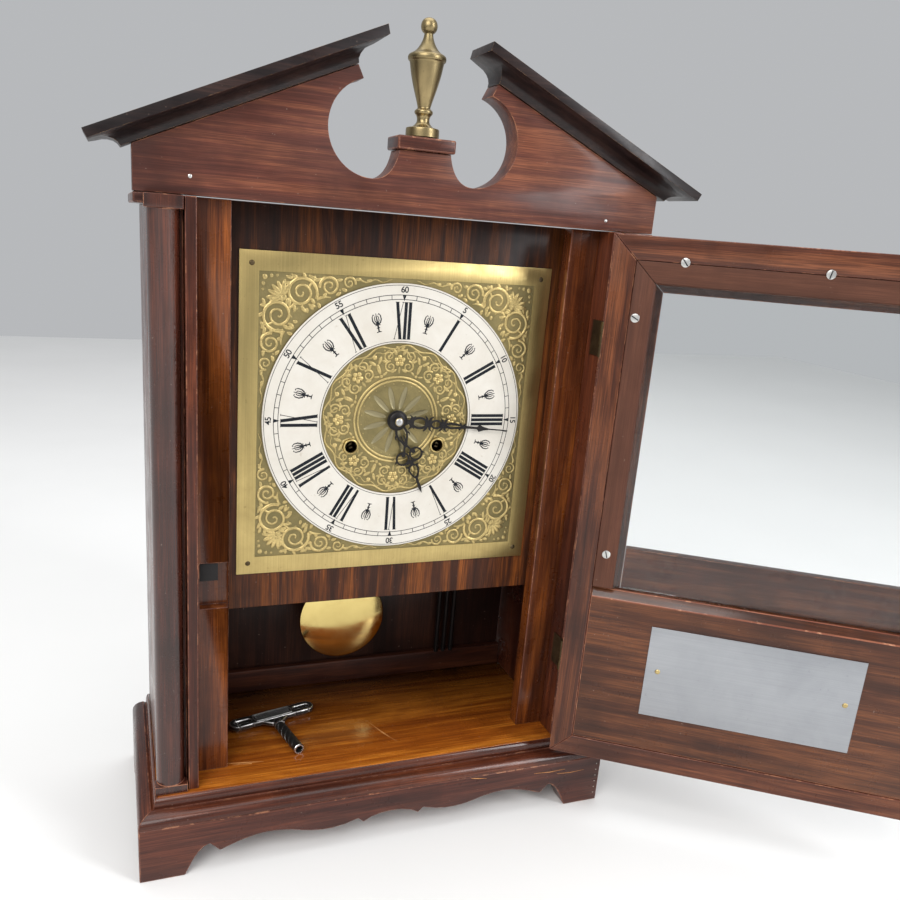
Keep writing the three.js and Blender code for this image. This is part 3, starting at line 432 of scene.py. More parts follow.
def reliefLook(name, tone, dull, low, high):
    # embossed brass: dark in the ground, rubbed bright on top of the ornament
    look, tree, shader = newLook(name)
    spot = addNode(tree, "TexCoord").outputs["Object"]
    depth = addNode(tree, "SeparateXYZ", {"Vector": spot}).outputs["Y"]
    limits = {"Value": depth, "From Min": caseY + low * mm, "From Max": caseY + high * mm}
    lift = addNode(tree, "MapRange", limits).outputs[0]
    clouds = noise(tree, spot, 40, 5, 0.65, 0.4)
    grit = noise(tree, spot, 900, 3, 0.7)
    amount = sums(tree, "ADD", lift, sums(tree, "MULTIPLY", sums(tree, "SUBTRACT", clouds, 0.5), 0.7))
    between = tuple((a + b) / 2 for a, b in zip(tone, dull))
    colour = ramp(tree, amount, [(0.0, dull), (0.45, between), (1.0, tone)])
    colour = blended(tree, ramp(tree, grit, [(0.35, 0.4), (0.6, 0)]), colour, dull)
    plug(tree, colour, shader.inputs["Base Color"])
    plug(tree, ramp(tree, lift, [(0, 0.52), (1, 0.3)]), shader.inputs["Roughness"])
    shader.inputs["Metallic"].default_value = 0.9
    dents = sums(tree, "MULTIPLY", noise(tree, spot, 330, 3, 0.6), 1.5)
    bumped(tree, shader, sums(tree, "ADD", grit, dents), 0.35, 0.3)
    return look


def enamelLook(name, tone):
    # dull paint that is rubbed thin in small spots
    look, tree, shader = newLook(name)
    spot = addNode(tree, "TexCoord").outputs["Object"]
    wear = noise(tree, spot, 700, 4, 0.7)
    colour = blended(tree, ramp(tree, wear, [(0.6, 0), (0.75, 0.35)]), tone, (0.3, 0.29, 0.27))
    plug(tree, colour, shader.inputs["Base Color"])
    shader.inputs["Roughness"].default_value = 0.6
    shader.inputs["Specular IOR Level"].default_value = 0.1
    return look


# the dark, the middle and the pale tone of woods that share a stain
brown = ((0.02, 0.006, 0.004), (0.08, 0.02, 0.01), (0.18, 0.048, 0.019))
orange = ((0.03, 0.007, 0.003), (0.13, 0.034, 0.01), (0.29, 0.08, 0.016))
apronBrown = ((0.025, 0.008, 0.006), (0.07, 0.02, 0.013), (0.125, 0.036, 0.02))
beadBrown = ((0.06, 0.022, 0.013), (0.1, 0.038, 0.022), (0.13, 0.05, 0.029))
looks = {
    "pediment": woodLook("pedimentWood", "X",
        ((0.045, 0.014, 0.01), (0.12, 0.036, 0.023), (0.25, 0.085, 0.042)), coat=0.35, gloss=0.4),
    "apron": woodLook("apronWood", "X", apronBrown, seed=1),
    "apronSide": woodLook("apronSideWood", "Y", apronBrown, seed=2),
    "moulding": woodLook("mouldingWood", "X", brown, gloss=0.24, coat=0.8, seed=3),
    "mouldingSide": woodLook("mouldingSideWood", "Y", brown, gloss=0.24, coat=0.8, seed=4),
    "column": woodLook("columnWood", "Z",
        ((0.016, 0.005, 0.003), (0.06, 0.016, 0.01), (0.12, 0.032, 0.016)), gloss=0.24, coat=1.6, seed=5),
    "case": woodLook("caseWood", "Z", brown, seed=6),
    "stile": woodLook("stileWood", "Z", orange, gloss=0.26, coat=0.7, seed=7),
    # the dial board darkens towards its top: painted shade under the top board and pediment
    "dialBoard": woodLook("dialBoardWood", "Z",
        ((0.014, 0.005, 0.003), (0.07, 0.019, 0.006), (0.3, 0.085, 0.014)), gloss=0.45, coat=0.12,
        figure=2.2, streak=0.6, seed=8, shade=("Z", 0.26, 0.5, 0.5)),
    # the floor board darkens towards the back: painted shade inside the case
    "floor": woodLook("floorWood", "X", ((0.12, 0.026, 0.004), (0.32, 0.083, 0.008), (0.6, 0.2, 0.022)),
        gloss=0.22, coat=0.9, figure=0.8, seed=9, shade=("Y", caseY - 10 * mm, caseY + 95 * mm, 0.12)),
    # the back boards' dark tone is partly their own stain and partly painted shade for the dim inside of the
    # case
    "back": woodLook("backWoodPaintedShade", "Z", ((0.01, 0.004, 0.003), (0.03, 0.01, 0.006), (0.06, 0.02, 0.01)),
        gloss=0.5, coat=0.15, seed=10),
    "backRail": woodLook("railWood", "X",
        ((0.012, 0.004, 0.003), (0.045, 0.013, 0.007), (0.09, 0.027, 0.012)), gloss=0.4, coat=0.3,
        seed=17),
    "rake": woodLook("ebonisedWood", "X",
        ((0.006, 0.004, 0.004), (0.018, 0.011, 0.011), (0.042, 0.022, 0.018)), gloss=0.36, coat=0.35,
        seed=11),
    "doorZ": woodLook("doorStileWood", "Z",
        ((0.02, 0.006, 0.003), (0.08, 0.022, 0.009), (0.19, 0.058, 0.02)), turn=doorTurn, gloss=0.3,
        coat=0.6, seed=12),
    "doorX": woodLook("doorRailWood", "X",
        ((0.03, 0.008, 0.004), (0.105, 0.03, 0.014), (0.24, 0.08, 0.034)), turn=doorTurn, gloss=0.3,
        coat=0.6, seed=13),
    "panel": woodLook("panelWood", "X",
        ((0.025, 0.007, 0.003), (0.09, 0.026, 0.009), (0.19, 0.062, 0.02)), turn=doorTurn, gloss=0.28,
        coat=0.7, seed=14, figure=1.6),
    "beadZ": woodLook("beadStileWood", "Z", beadBrown, turn=doorTurn, gloss=0.5, coat=0.1, seed=15),
    "beadX": woodLook("beadTopWood", "X", beadBrown, turn=doorTurn, gloss=0.5, coat=0.1, seed=16),
    "brass": metalLook("agedBrass", (0.62, 0.48, 0.22), (0.2, 0.15, 0.07), 0.36),
    "border": metalLook("brushedBrass", (0.56, 0.43, 0.18), (0.27, 0.2, 0.08), 0.34, brushed="Z",
        spots=0.45),
    # a darker brass for the flute hollows: painted shade in the hollows
    "fluted": metalLook("flutedBrassPaintedShade", (0.3, 0.26, 0.15), (0.15, 0.13, 0.08), 0.42, spots=0.4),
    "hinge": metalLook("tarnishedBrass", (0.12, 0.085, 0.04), (0.03, 0.02, 0.012), 0.42, metal=0.8,
        spots=0.9, fine=3),
    "relief": reliefLook("embossedBrass", (0.66, 0.5, 0.21), (0.2, 0.165, 0.075), 0.5, -0.3),
    "finial": metalLook("antiqueBrass", (0.34, 0.26, 0.13), (0.13, 0.11, 0.06), 0.36, spots=0.8,
        fine=1.6),
    "bob": metalLook("polishedBrass", (0.66, 0.52, 0.2), (0.42, 0.3, 0.1), 0.12, spots=0.35),
    "silver": metalLook("silveredBrass", (0.66, 0.63, 0.57), (0.42, 0.36, 0.27), 0.48, metal=0.2,
        spots=0.35),
    "blackSteel": metalLook("blackSteel", (0.022, 0.02, 0.02), (0.006, 0.005, 0.005), 0.38, metal=0.7),
    "keySteel": metalLook("keySteel", (0.075, 0.07, 0.066), (0.02, 0.018, 0.017), 0.34, metal=0.85,
        fine=2),
    "keyRib": metalLook("keyRibSteel", (0.14, 0.135, 0.13), (0.03, 0.028, 0.026), 0.34, metal=0.85,
        spots=0.9, fine=5),
    "keyEdge": metalLook("keyWornEdge", (0.62, 0.61, 0.6), (0.05, 0.046, 0.044), 0.3, metal=0.9,
        spots=0.95, fine=5),
    "brightSteel": metalLook("brightSteel", (0.6, 0.6, 0.6), (0.2, 0.2, 0.2), 0.26, fine=2),
    "nickel": metalLook("nickel", (0.66, 0.66, 0.64), (0.3, 0.29, 0.27), 0.3, fine=3),
    "steel": metalLook("darkenedSteel", (0.2, 0.2, 0.22), (0.08, 0.07, 0.07), 0.32),
    "plaque": metalLook("plaqueAluminium", (0.4, 0.41, 0.43), (0.27, 0.285, 0.31), 0.34, brushed="X",
        spots=0.3, turn=doorTurn),
    "filler": enamelLook("oldFiller", (0.5, 0.46, 0.4)),
    "ink": enamelLook("blackEnamel", (0.012, 0.014, 0.018)),
}
# finishes of the worn edges and marks
worn = {
    "brown": woodLook("wornMahogany", "X",
        ((0.06, 0.02, 0.013), (0.16, 0.055, 0.035), (0.24, 0.09, 0.055)), gloss=0.35, coat=0.4,
        bare=0.45, bareTone=(0.3, 0.13, 0.07), seed=20),
    "rake": woodLook("wornEbonised", "X",
        ((0.02, 0.012, 0.01), (0.07, 0.035, 0.022), (0.16, 0.08, 0.045)), gloss=0.4, coat=0.2, bare=0.6,
        bareTone=(0.42, 0.24, 0.12), seed=21),
    "scratch": woodLook("bareWood", "X", ((0.24, 0.08, 0.02), (0.45, 0.18, 0.05), (0.66, 0.33, 0.12)),
        gloss=0.5, coat=0.1, seed=23),
    "copper": woodLook("wornPanelTop", "X", ((0.16, 0.05, 0.03), (0.3, 0.11, 0.06), (0.42, 0.18, 0.1)),
        turn=doorTurn, gloss=0.26, coat=0.7, bare=0.35, bareTone=(0.5, 0.24, 0.14), seed=22),
}


def glassLook():
    look, tree, shader = newLook("doorGlass")
    spot = addNode(tree, "TexCoord").outputs["Object"]
    smears = noise(tree, spot, 16, 6, 0.7, 1.2)
    plug(tree, ramp(tree, smears, [(0.45, 0.01), (0.8, 0.09)]), shader.inputs["Roughness"])
    shader.inputs["Base Color"].default_value = (0.96, 0.98, 0.98, 1)
    shader.inputs["Transmission Weight"].default_value = 1
    shader.inputs["IOR"].default_value = 1.3
    return look


looks["glass"] = glassLook()
print("finishes made:", len(looks) + len(worn))


# ---- boards and mouldings: each keeps its node's shape and gets eased, worn edges

boards = {  # node: finish, worn edge, ease in mm
    "plinth_front": ("apron", "brown", 1.0), "plinth_left": ("apronSide", "brown", 1.0),
    "plinth_right": ("apronSide", "brown", 1.0),
    "base_moulding_front": ("moulding", "brown", 0.4), "base_moulding_left": ("mouldingSide", "brown", 0.4),
    "base_moulding_right": ("mouldingSide", "brown", 0.4), "floor_board": ("floor", None, 0.6),
    "side_left": ("case", "brown", 0.8), "side_right": ("case", "brown", 0.8),
    "top_board": ("apron", "brown", 1.2),
    "column_left": ("column", "brown", 0.5), "column_right": ("column", "brown", 0.5),
    "jamb_left": ("case", "brown", 0.7), "jamb_right": ("case", "brown", 0.7),
    "stile_left": ("stile", "brown", 0.6), "stile_right": ("stile", "brown", 0.6),
    "pediment_board": ("pediment", "brown", 0.45), "finial_block": ("apron", "brown", 1.3),
    "raking_moulding_left": ("rake", "rake", 0.7), "raking_moulding_right": ("rake", "rake", 0.7),
    "dial_board": ("dialBoard", None, 0.6), "back_panel": ("back", None, 0.8),
    "rear_door": ("back", "brown", 1.2),
    "door_stile_hinge": ("doorZ", "brown", 0.6), "door_stile_latch": ("doorZ", "brown", 0.6),
    "door_rail_top": ("doorX", "brown", 0.6), "door_rail_bottom": ("doorX", "brown", 0.6),
    "door_rail_middle": ("doorX", "brown", 0.6), "door_panel": ("panel", "copper", 0.7),
    "bead_latch": ("beadZ", None, 0.4), "bead_hinge": ("beadZ", None, 0.4), "bead_top": ("beadX", None, 0.4),
}
holed = ("stile_left", "back_panel", "dial_board")  # flat faces with holes, whose triangles stay



def easedCopy(node, look, edge=None, ease=0.8):
    piece = bpy.data.objects.new(node + "Eased", frame["nodes"][node].data.copy())
    bpy.context.scene.collection.objects.link(piece)
    dressed(piece, look, edge or look)
    pick(piece)
    editAll(lambda: bpy.ops.mesh.remove_doubles(threshold=2e-6))
    if node not in holed:
        editAll(lambda: bpy.ops.mesh.dissolve_limited(angle_limit=math.radians(0.6)))
    shapeWith(piece, "BEVEL", width=ease * mm, segments=3, limit_method="ANGLE",
              angle_limit=math.radians(34), material=1, harden_normals=False)
    return settle(piece, node + "Eased", bodyOf[node], None, 38, (node,))


for node, (look, edge, ease) in boards.items():
    easedCopy(node, looks[look], worn.get(edge), ease)
print("boards eased:", len(boards))

fittings = {  # node: finish, ease in mm
    "movement_frame": ("brass", 0.3), "gong": ("blackSteel", 0.5), "hammer": ("steel", 0.3),
    "catch_plate": ("blackSteel", 0.2), "rear_button": ("brass", 0.4), "plaque": ("plaque", 0.15),
    "hinge_upper_case": ("hinge", 0.12), "hinge_lower_case": ("hinge", 0.12),
    "hinge_upper_door": ("hinge", 0.12), "hinge_lower_door": ("hinge", 0.12),
    "pendulum_rod": ("steel", 0.1), "rating_nut": ("brass", 0.3),
}
for node, (look, ease) in fittings.items():
    easedCopy(node, looks[look], None, ease)
for node, look in [("barrel_strike", "hinge"), ("barrel_time", "hinge"), ("centre_arbor", "brass"),
                   ("third_wheel", "brass"), ("escape_wheel", "brass"), ("minute_wheel", "brass"),
                   ("anchor", "steel"), ("door_glass", "glass")]:
    dressed(frame["nodes"][node], looks[look])
print("metalwork finished")


# ---- dial plate: flat border, sunk field, fluted middle and scroll foliage

dial = {
    "half": 125, "field": 110.7, "sunk": 0.45, "thick": 1.5, "nailReach": 116,
    "holeX": 36.5, "holeDrop": 21.7, "holeRadius": 5, "arborHole": 5.6,
    "flutes": 12, "fluteMiddle": 18.2, "fluteShape": (2.35, 0.85, 9.6), "medallion": 33.2,
    "ringIn": 61.6, "ringOut": 107.3, "ringFace": -1.4,
}


def onDial(x, y, z):
    return at(x, y, dialZ + z)


def turnedOnDial(degrees):
    # turns clockwise about the dial's centre, seen from the front
    centre = at(0, 0, dialZ)
    turn = Matrix.Rotation(math.radians(degrees), 4, "Y")
    return Matrix.Translation(centre) @ turn @ Matrix.Translation(-centre)


def holeCutter(x, z, radius):
    return turnedPiece([(0, -3), (radius, -3), (radius, 4), (0, 4)], onDial(x, 0, z), "Y", 32)


def makeDialPlate():
    half, field = dial["half"], dial["field"]
    plate = flatBlank(rectangle(-half, -half, half, half), 0, dial["thick"], onDial)
    shapeWith(plate, "BEVEL", width=0.3 * mm, segments=2, limit_method="ANGLE")
    cutWith(plate, flatBlank(rectangle(-field, -field, field, field), -2, dial["sunk"], onDial))
    holes = [holeCutter(side * dial["holeX"], -dial["holeDrop"], dial["holeRadius"]) for side in (-1, 1)]
    cutWith(plate, joined(holes + [holeCutter(0, 0, dial["arborHole"])]))
    flutes = []
    for i in range(dial["flutes"]):
        flute = bead(0, dial["sunk"] - 0.05, dial["fluteMiddle"], 1, onDial, dial["fluteShape"])
        flute.data.transform(turnedOnDial(15 + i * 360 / dial["flutes"]))
        flutes.append(flute)
    cutWith(plate, joined(flutes))
    settle(plate, "dialPlate", "case", looks["border"], 30, ("dial_plate",))
    plate.data.materials.append(looks["relief"])
    plate.data.materials.append(looks["fluted"])
    for face in plate.data.polygons:
        inField = face.center.y > caseY + 0.2 * mm and face.center.y < caseY + 1.2 * mm
        away = max(abs(face.center.x - caseX), abs(face.center.z - dialZ * mm))
        if inField and away < (field + 0.1) * mm:
            face.material_index = 1
            # faces in the flute hollows take the darker brass: painted shade in the hollows
            if face.center.y > caseY + (dial["sunk"] + 0.04) * mm and away < dial["medallion"] * mm:
                face.material_index = 2


def scrollPath(x, z, size, start, turns, way, thick):
    # a spiral that winds in and thins out
    path = []
    steps = int(22 * turns) + 2
    for i in range(steps + 1):
        share = i / steps
        angle = math.radians(start) + way * math.tau * turns * share
        reach = size * (1 - share) ** 0.85 + 0.5
        path.append((x + reach * math.cos(angle), z + reach * math.sin(angle), thick * (1 - 0.5 * share)))
    return path


def leaf(x, z, length, width, degrees, ground, rise=0.5):
    # a pointed leaf whose tip lies towards these degrees, counted from +x to +z
    turn = -math.radians(degrees)
    return bead(x, ground, z, 1, onDial, (length / 2, rise, width / 2), turn)


def pressed(relief, ground, share):
    # embossed work: its height is pressed down to a share
    plane = caseY + ground * mm
    for vertex in relief.data.vertices:
        vertex.co.y = plane + (vertex.co.y - plane) * share
    return relief


def makeSpandrels():
    ground = dial["sunk"] - 0.1
    parts = []

    def both(path):
        # the motif is alike either side of the corner's diagonal
        parts.append(ridge(path, ground, onDial))
        parts.append(ridge([(z, x, thick) for x, z, thick in path], ground, onDial))

    both(scrollPath(79.5, 96.5, 11.6, 200, 2.1, -1, 1.5))
    both(scrollPath(79.5, 96.5, 9.4, 20, 1.6, -1, 1.1))
    both(scrollPath(58.5, 102, 7.2, 350, 1.8, 1, 1.3))
    both(scrollPath(43.5, 105.2, 4.4, 190, 1.5, -1, 1.05))
    both([(68, 91.6, 0.9), (65, 93.4, 1.2), (61, 94.2, 1.0), (57.5, 93.8, 0.5)])
    both([(88, 84.5, 0.7), (85, 88, 1.1), (81, 88.6, 0.9), (78, 86.4, 0.5)])
    both([(40 - 2.3 * i, 106.8 + 1.1 * math.sin(i * 1.1) + i * 0.12, 0.95 - 0.04 * i) for i in range(14)])
    both([(68 + 1.6 * i, 100 + 4 * math.sin(i * 0.8), 1.0) for i in range(5)])
    for i in range(9):
        turn = math.radians(-42 + i * 33)
        for x, z in [(79.5, 96.5), (96.5, 79.5)]:
            px, pz = x + 12.4 * math.cos(turn), z + 12.4 * math.sin(turn)
            if math.hypot(px, pz) > 110.5 and max(px, pz) < 109.5:
                parts.append(leaf(px, pz, 6.4, 2.9, -42 + i * 33 + 35, ground, 1.1))
    for i in range(7):
        degrees = 45 + (i - 3) * 24
        turn = math.radians(degrees)
        x, z = 93 + 6.6 * math.cos(turn), 93 + 6.6 * math.sin(turn)
        parts.append(leaf(x, z, 11, 3.8, degrees, ground, 1.3))
    parts.append(bead(92.4, ground, 92.4, 2.3, onDial, (1, 0.45, 1)))
    pearls = [(106.6, 106.6, 2.1), (107.6, 101.8, 1.5), (108, 97.6, 1.1), (104.4, 92, 1.2), (108.2, 70, 1.2),
              (86, 86, 1.2), (82.6, 84.6, 0.9), (66.5, 92.6, 1.0), (50.6, 99.5, 0.9)]
    for x, z, size in pearls:
        for px, pz in [(x, z)] if x == z else [(x, z), (z, x)]:
            parts.append(bead(px, ground, pz, size, onDial, (1, 0.5, 1)))
    leaves = [(71.2, 107.8, 7, 20), (63, 107.6, 6, 150), (51.5, 96.6, 5, 320), (47, 99.8, 5, 200),
              (72, 86.4, 6, 50), (66, 87.4, 5, 250), (90.6, 99.6, 6, 330), (28, 107.6, 5, 170),
              (75, 83.6, 4, 260), (99.4, 99.6, 5, 45), (67.5, 106.4, 6, 160), (88.6, 107.2, 6, 15),
              (70.8, 90.6, 5.5, 235), (51, 107, 5, 170), (62, 95.2, 4.6, 300), (36.5, 108.2, 4.6, 175)]
    for x, z, length, degrees in leaves:
        parts.append(leaf(x, z, length, 2.9, degrees, ground, 1.0))
        parts.append(leaf(z, x, length, 2.9, 90 - degrees, ground, 1.0))
    corner = pressed(joined(parts), ground, 0.5)
    corners = [corner] + [copied(corner, turnedOnDial(turn)) for turn in (90, 180, 270)]
    settle(joined(corners), "spandrelFoliage", "case", looks["relief"], 50)


def ringRidge(radius, thick, ground, wave=0, waves=0):
    # a ridge that closes on itself, straight or wavy
    path = []
    for i in range(145):
        turn = math.tau * i / 144
        reach = radius + wave * math.sin(waves * turn)
        path.append((reach * math.sin(turn), reach * math.cos(turn), thick))
    return ridge(path, ground, onDial)


def makeWreath():
    ground = dial["sunk"] - 0.1
    parts = []
    for i in range(5):
        turn = math.tau * i / 5
        x, z = 2.9 * math.sin(turn), 47.5 + 2.9 * math.cos(turn)
        parts.append(bead(x, ground, z, 1.95, onDial, (1, 0.75, 1)))
    parts.append(bead(0, ground - 0.1, 47.5, 1.1, onDial, (1, 0.6, 1)))
    for side in (-1, 1):
        parts.append(ridge(scrollPath(side * 7.4, 42.6, 4.1, 90, 1.5, -side, 0.95), ground, onDial))
        parts.append(ridge(scrollPath(side * 8.6, 50.8, 3.9, 270, 1.4, side, 0.9), ground, onDial))
        parts.append(leaf(side * 4.2, 54.4, 6.4, 2.8, 90 - side * 35, ground, 0.9))
        parts.append(leaf(side * 4.4, 39.4, 5.2, 2.4, 90 + side * 60, ground, 0.8))
        parts.append(leaf(side * 12.2, 46.6, 5.4, 2.4, 90 - side * 70, ground, 0.8))
        parts.append(leaf(side * 2.2, 57.6, 4.4, 2.2, 90 - side * 50, ground, 0.8))
        parts.append(bead(side * 12.8, ground, 55.2, 0.8, onDial, (1, 0.5, 1)))
    parts.append(leaf(0, 40, 5.6, 2.0, 90, ground, 0.45))
    arch = [math.radians(degrees) for degrees in range(-78, 79, 6)]
    parts.append(ridge([(9.6 * math.sin(t), 46.4 + 9.6 * math.cos(t), 0.7) for t in arch], ground, onDial))
    between = [leaf(0, 43.6, 9, 3.4, 90, ground, 1.0), leaf(-3.2, 49.8, 7, 2.8, 130, ground, 0.9),
               leaf(3.2, 49.8, 7, 2.8, 50, ground, 0.9), bead(0, ground, 53.6, 2.0, onDial, (1, 0.7, 1)),
               bead(0, ground, 37.6, 1.4, onDial, (1, 0.6, 1)),
               leaf(-3.6, 38.6, 4.6, 2, 160, ground, 0.8), leaf(3.6, 38.6, 4.6, 2, 20, ground, 0.8)]
    for piece in between:
        piece.data.transform(turnedOnDial(22.5))
    motif = joined(parts + between)
    wreath = [motif] + [copied(motif, turnedOnDial(45 * i)) for i in range(1, 8)]
    wreath += [ringRidge(34.6, 1.0, ground), ringRidge(31.7, 0.9, ground),
               ringRidge(58.6, 0.8, ground, 1.6, 16), ringRidge(55.4, 0.5, ground, 1.2, 32)]
    for i in range(24):
        turn = math.tau * (i + 0.5) / 24
        wreath.append(bead(29.2 * math.sin(turn), ground, 29.2 * math.cos(turn), 0.55, onDial, (1, 0.6, 1)))
    wreath = pressed(joined(wreath), ground, 0.55)
    # nothing stands up under the ferrules
    for vertex in wreath.data.vertices:
        for side in (-1, 1):
            centre = onDial(side * dial["holeX"], 0, -dial["holeDrop"])
            reach = Vector((vertex.co.x - centre.x, 0, vertex.co.z - centre.z))
            if reach.length < 6.4 * mm:
                vertex.co.y = caseY + (dial["sunk"] + 0.3) * mm
    settle(wreath, "dialWreath", "case", looks["relief"], 50)


def makeFerrules():
    profile = [(4.7, 0.9), (4.7, -0.5), (5.0, -0.95), (5.6, -1.05), (6.1, -0.8), (6.3, -0.2), (6.3, 0.5),
               (5.6, 0.9)]
    for side, name in ((-1, "strikeFerrule"), (1, "timeFerrule")):
        ferrule = turnedPiece(profile, onDial(side * dial["holeX"], 0, -dial["holeDrop"]), "Y", 40)
        settle(ferrule, name, "case", looks["border"])
    head = [(0, -0.7), (0.9, -0.65), (1.7, -0.35), (2.0, 0), (2.0, 0.6), (0, 0.6)]
    for right, up in [(-1, 1), (1, 1), (-1, -1), (1, -1)]:
        nail = turnedPiece(head, onDial(right * dial["nailReach"], 0, up * dial["nailReach"]), "Y", 20)
        settle(nail, "dialNail", "case", looks["hinge"])


def makeChapterRing():
    face, inner, outer = dial["ringFace"], dial["ringIn"], dial["ringOut"]
    profile = [(inner, -0.3), (inner, face + 0.25), (inner + 0.35, face), (outer - 0.35, face),
               (outer, face + 0.25), (outer, -0.3)]
    ring = turnedPiece(profile, onDial(0, 0, 0), "Y", 180)
    settle(ring, "chapterRing", "case", looks["silver"], 35, ("chapter_ring",))


# stroke widths, the space between letters, how wide V and X are, and how far out they start and end
numeral = {"bar": 2.5, "hair": 0.45, "space": 1.0, "vee": 6.2, "foot": 64.5, "top": 93.2}
romans = ["XII", "I", "II", "III", "IIII", "V", "VI", "VII", "VIII", "IX", "X", "XI"]


def romanOutlines(letters):
    foot, top, bar, hair = numeral["foot"], numeral["top"], numeral["bar"], numeral["hair"]
    widths = [bar if letter == "I" else numeral["vee"] for letter in letters]
    left = -(sum(widths) + numeral["space"] * (len(letters) - 1)) / 2
    outlines = []
    for letter, width in zip(letters, widths):
        right = left + width
        serifs = [(left - 0.4, left + bar + 0.4), (right - 1.1, right + 0.5)]
        if letter == "I":
            outlines.append(rectangle(left, foot, right, top))
            serifs = [(left - 0.3, right + 0.3)]
        elif letter == "V":
            middle = (left + right) / 2
            outlines.append([(middle - bar / 2, foot), (middle + bar / 2 - 0.4, foot),
                             (left + bar, top), (left, top)])
            outlines.append([(middle - hair / 2, foot), (middle + hair / 2, foot),
                             (right, top), (right - hair, top)])
        else:
            outlines.append([(right - bar, foot), (right, foot), (left + bar, top), (left, top)])
            outlines.append([(left, foot), (left + hair, foot), (right, top), (right - hair, top)])
            outlines.append(rectangle(right - bar - 0.4, foot, right + 0.4, foot + hair))
            outlines.append(rectangle(left - 0.5, foot, left + 1.1, foot + hair))
        for start, end in serifs:
            outlines.append(rectangle(start, top - hair, end, top))
            if letter == "I":
                outlines.append(rectangle(start, foot, end, foot + hair))
        left = right + numeral["space"]
    return outlines


def makeHourNumerals():
    face = dial["ringFace"]
    parts = []
    for hour, letters in enumerate(romans):
        for i, outline in enumerate(romanOutlines(letters)):
            stroke = flatBlank(outline, face - 0.05 - 0.006 * i, face + 0.1, onDial)
            stroke.data.transform(turnedOnDial(30 * hour))
            parts.append(stroke)
    settle(joined(parts), "hourNumerals", "case", looks["ink"], 20)


def makeMinuteTrack():
    face = dial["ringFace"]
    parts = []
    for radius, width in [(98.5, 0.5), (95.1, 0.5), (105.9, 0.4), (63.0, 0.4)]:
        near, far = radius - width / 2, radius + width / 2
        band = [(near, face + 0.1), (near, face - 0.05), (far, face - 0.05), (far, face + 0.1)]
        parts.append(turnedPiece(band, onDial(0, 0, 0), "Y", 180))
    for minute in range(60):
        if minute % 5:
            mark = flatBlank(rectangle(-0.25, 95.1, 0.25, 98.5), face - 0.055, face + 0.1, onDial)
        else:
            mark = flatBlank([(0, 93.8), (1.6, 98.6), (-1.6, 98.6)], face - 0.06, face + 0.1, onDial)
        mark.data.transform(turnedOnDial(6 * minute))
        parts.append(mark)
    for minute in range(5, 61, 5):
        pick()
        bpy.ops.object.text_add(location=(0, 0, 0))
        number = bpy.context.object
        number.data.body = str(minute)
        number.data.size = 6.6 * mm
        number.data.align_x = "CENTER"
        number.data.align_y = "CENTER"
        number.data.extrude = 0.06 * mm
        number.data.offset = 0.13 * mm
        number.data.space_character = 0.92
        pick(number)
        bpy.ops.object.convert(target="MESH")
        number = bpy.context.object
        upright = Matrix.Rotation(math.radians(90), 4, "X")
        number.data.transform(Matrix.Translation(onDial(0, face + 0.01, 102.4)) @ upright)
        number.data.transform(turnedOnDial(6 * minute))
        parts.append(number)
    settle(joined(parts), "minuteTrack", "case", looks["ink"], 20)


def makeHalfHourMarks():
    face = dial["ringFace"]
    stem = [(0, 72.2, 0.5), (0, 75, 0.62), (0, 78, 0.75), (0, 82, 0.5), (0, 86.6, 0.25)]
    parts = [ridge(stem, face, onDial)]
    for z, reach in [(72.2, 1.9), (75.4, 1.3), (77.6, 2.2)]:
        parts.append(ridge([(-reach, z - 0.2, 0.3), (0, z + 0.2, 0.48), (reach, z - 0.2, 0.3)], face, onDial))
    for side in (-1, 1):
        petal = [(0.3, 78.2, 0.5), (2.3, 78.9, 0.55), (3.5, 81.3, 0.5), (3.4, 84.2, 0.42), (2.3, 86, 0.36),
                 (1.5, 85.2, 0.3)]
        inner = [(0.4, 78.6, 0.36), (1.6, 80.8, 0.4), (1.6, 83.4, 0.34), (0.9, 84.6, 0.3)]
        for path in (petal, inner):
            parts.append(ridge([(side * x, z, thick) for x, z, thick in path], face, onDial))
    mark = pressed(joined(parts), face, 0.18)
    marks = [copied(mark, turnedOnDial(15 + 30 * i)) for i in range(12)]
    bpy.data.objects.remove(mark)
    settle(joined(marks), "halfHourMarks", "case", looks["ink"], 40)


makeDialPlate()
makeSpandrels()
makeWreath()
makeFerrules()
makeChapterRing()
makeHourNumerals()
makeMinuteTrack()
makeHalfHourMarks()
print("dial made")


# ---- hands: pierced and cut from flat steel

hands = {"minuteTurn": 95.2, "hourTurn": 157.8, "minuteFront": -5.3, "hourFront": -3.3, "thick": 1.1}


def arcPath(x, z, radiusX, radiusZ, start, end, steps=14):
    turns = [math.radians(start + (end - start) * i / steps) for i in range(steps + 1)]
    return [(x + radiusX * math.cos(t), z + radiusZ * math.sin(t)) for t in turns]


def handPiece(strips, front, turn):
    # every strip is cut a hair thicker than the last, so that no two faces share a plane
    parts = []
    for i, (path, widths) in enumerate(strips):
        if len(widths) != len(path):
            first, last = widths
            widths = [first + (last - first) * k / (len(path) - 1) for k in range(len(path))]
        extra = 0.012 * i
        parts.append(stripPiece(path, widths, front - extra, front + hands["thick"] + extra, onDial))
    hand = joined(parts)
    hand.data.transform(turnedOnDial(turn))
    return hand


def mirrored(path):
    return [(-x, z) for x, z in path]


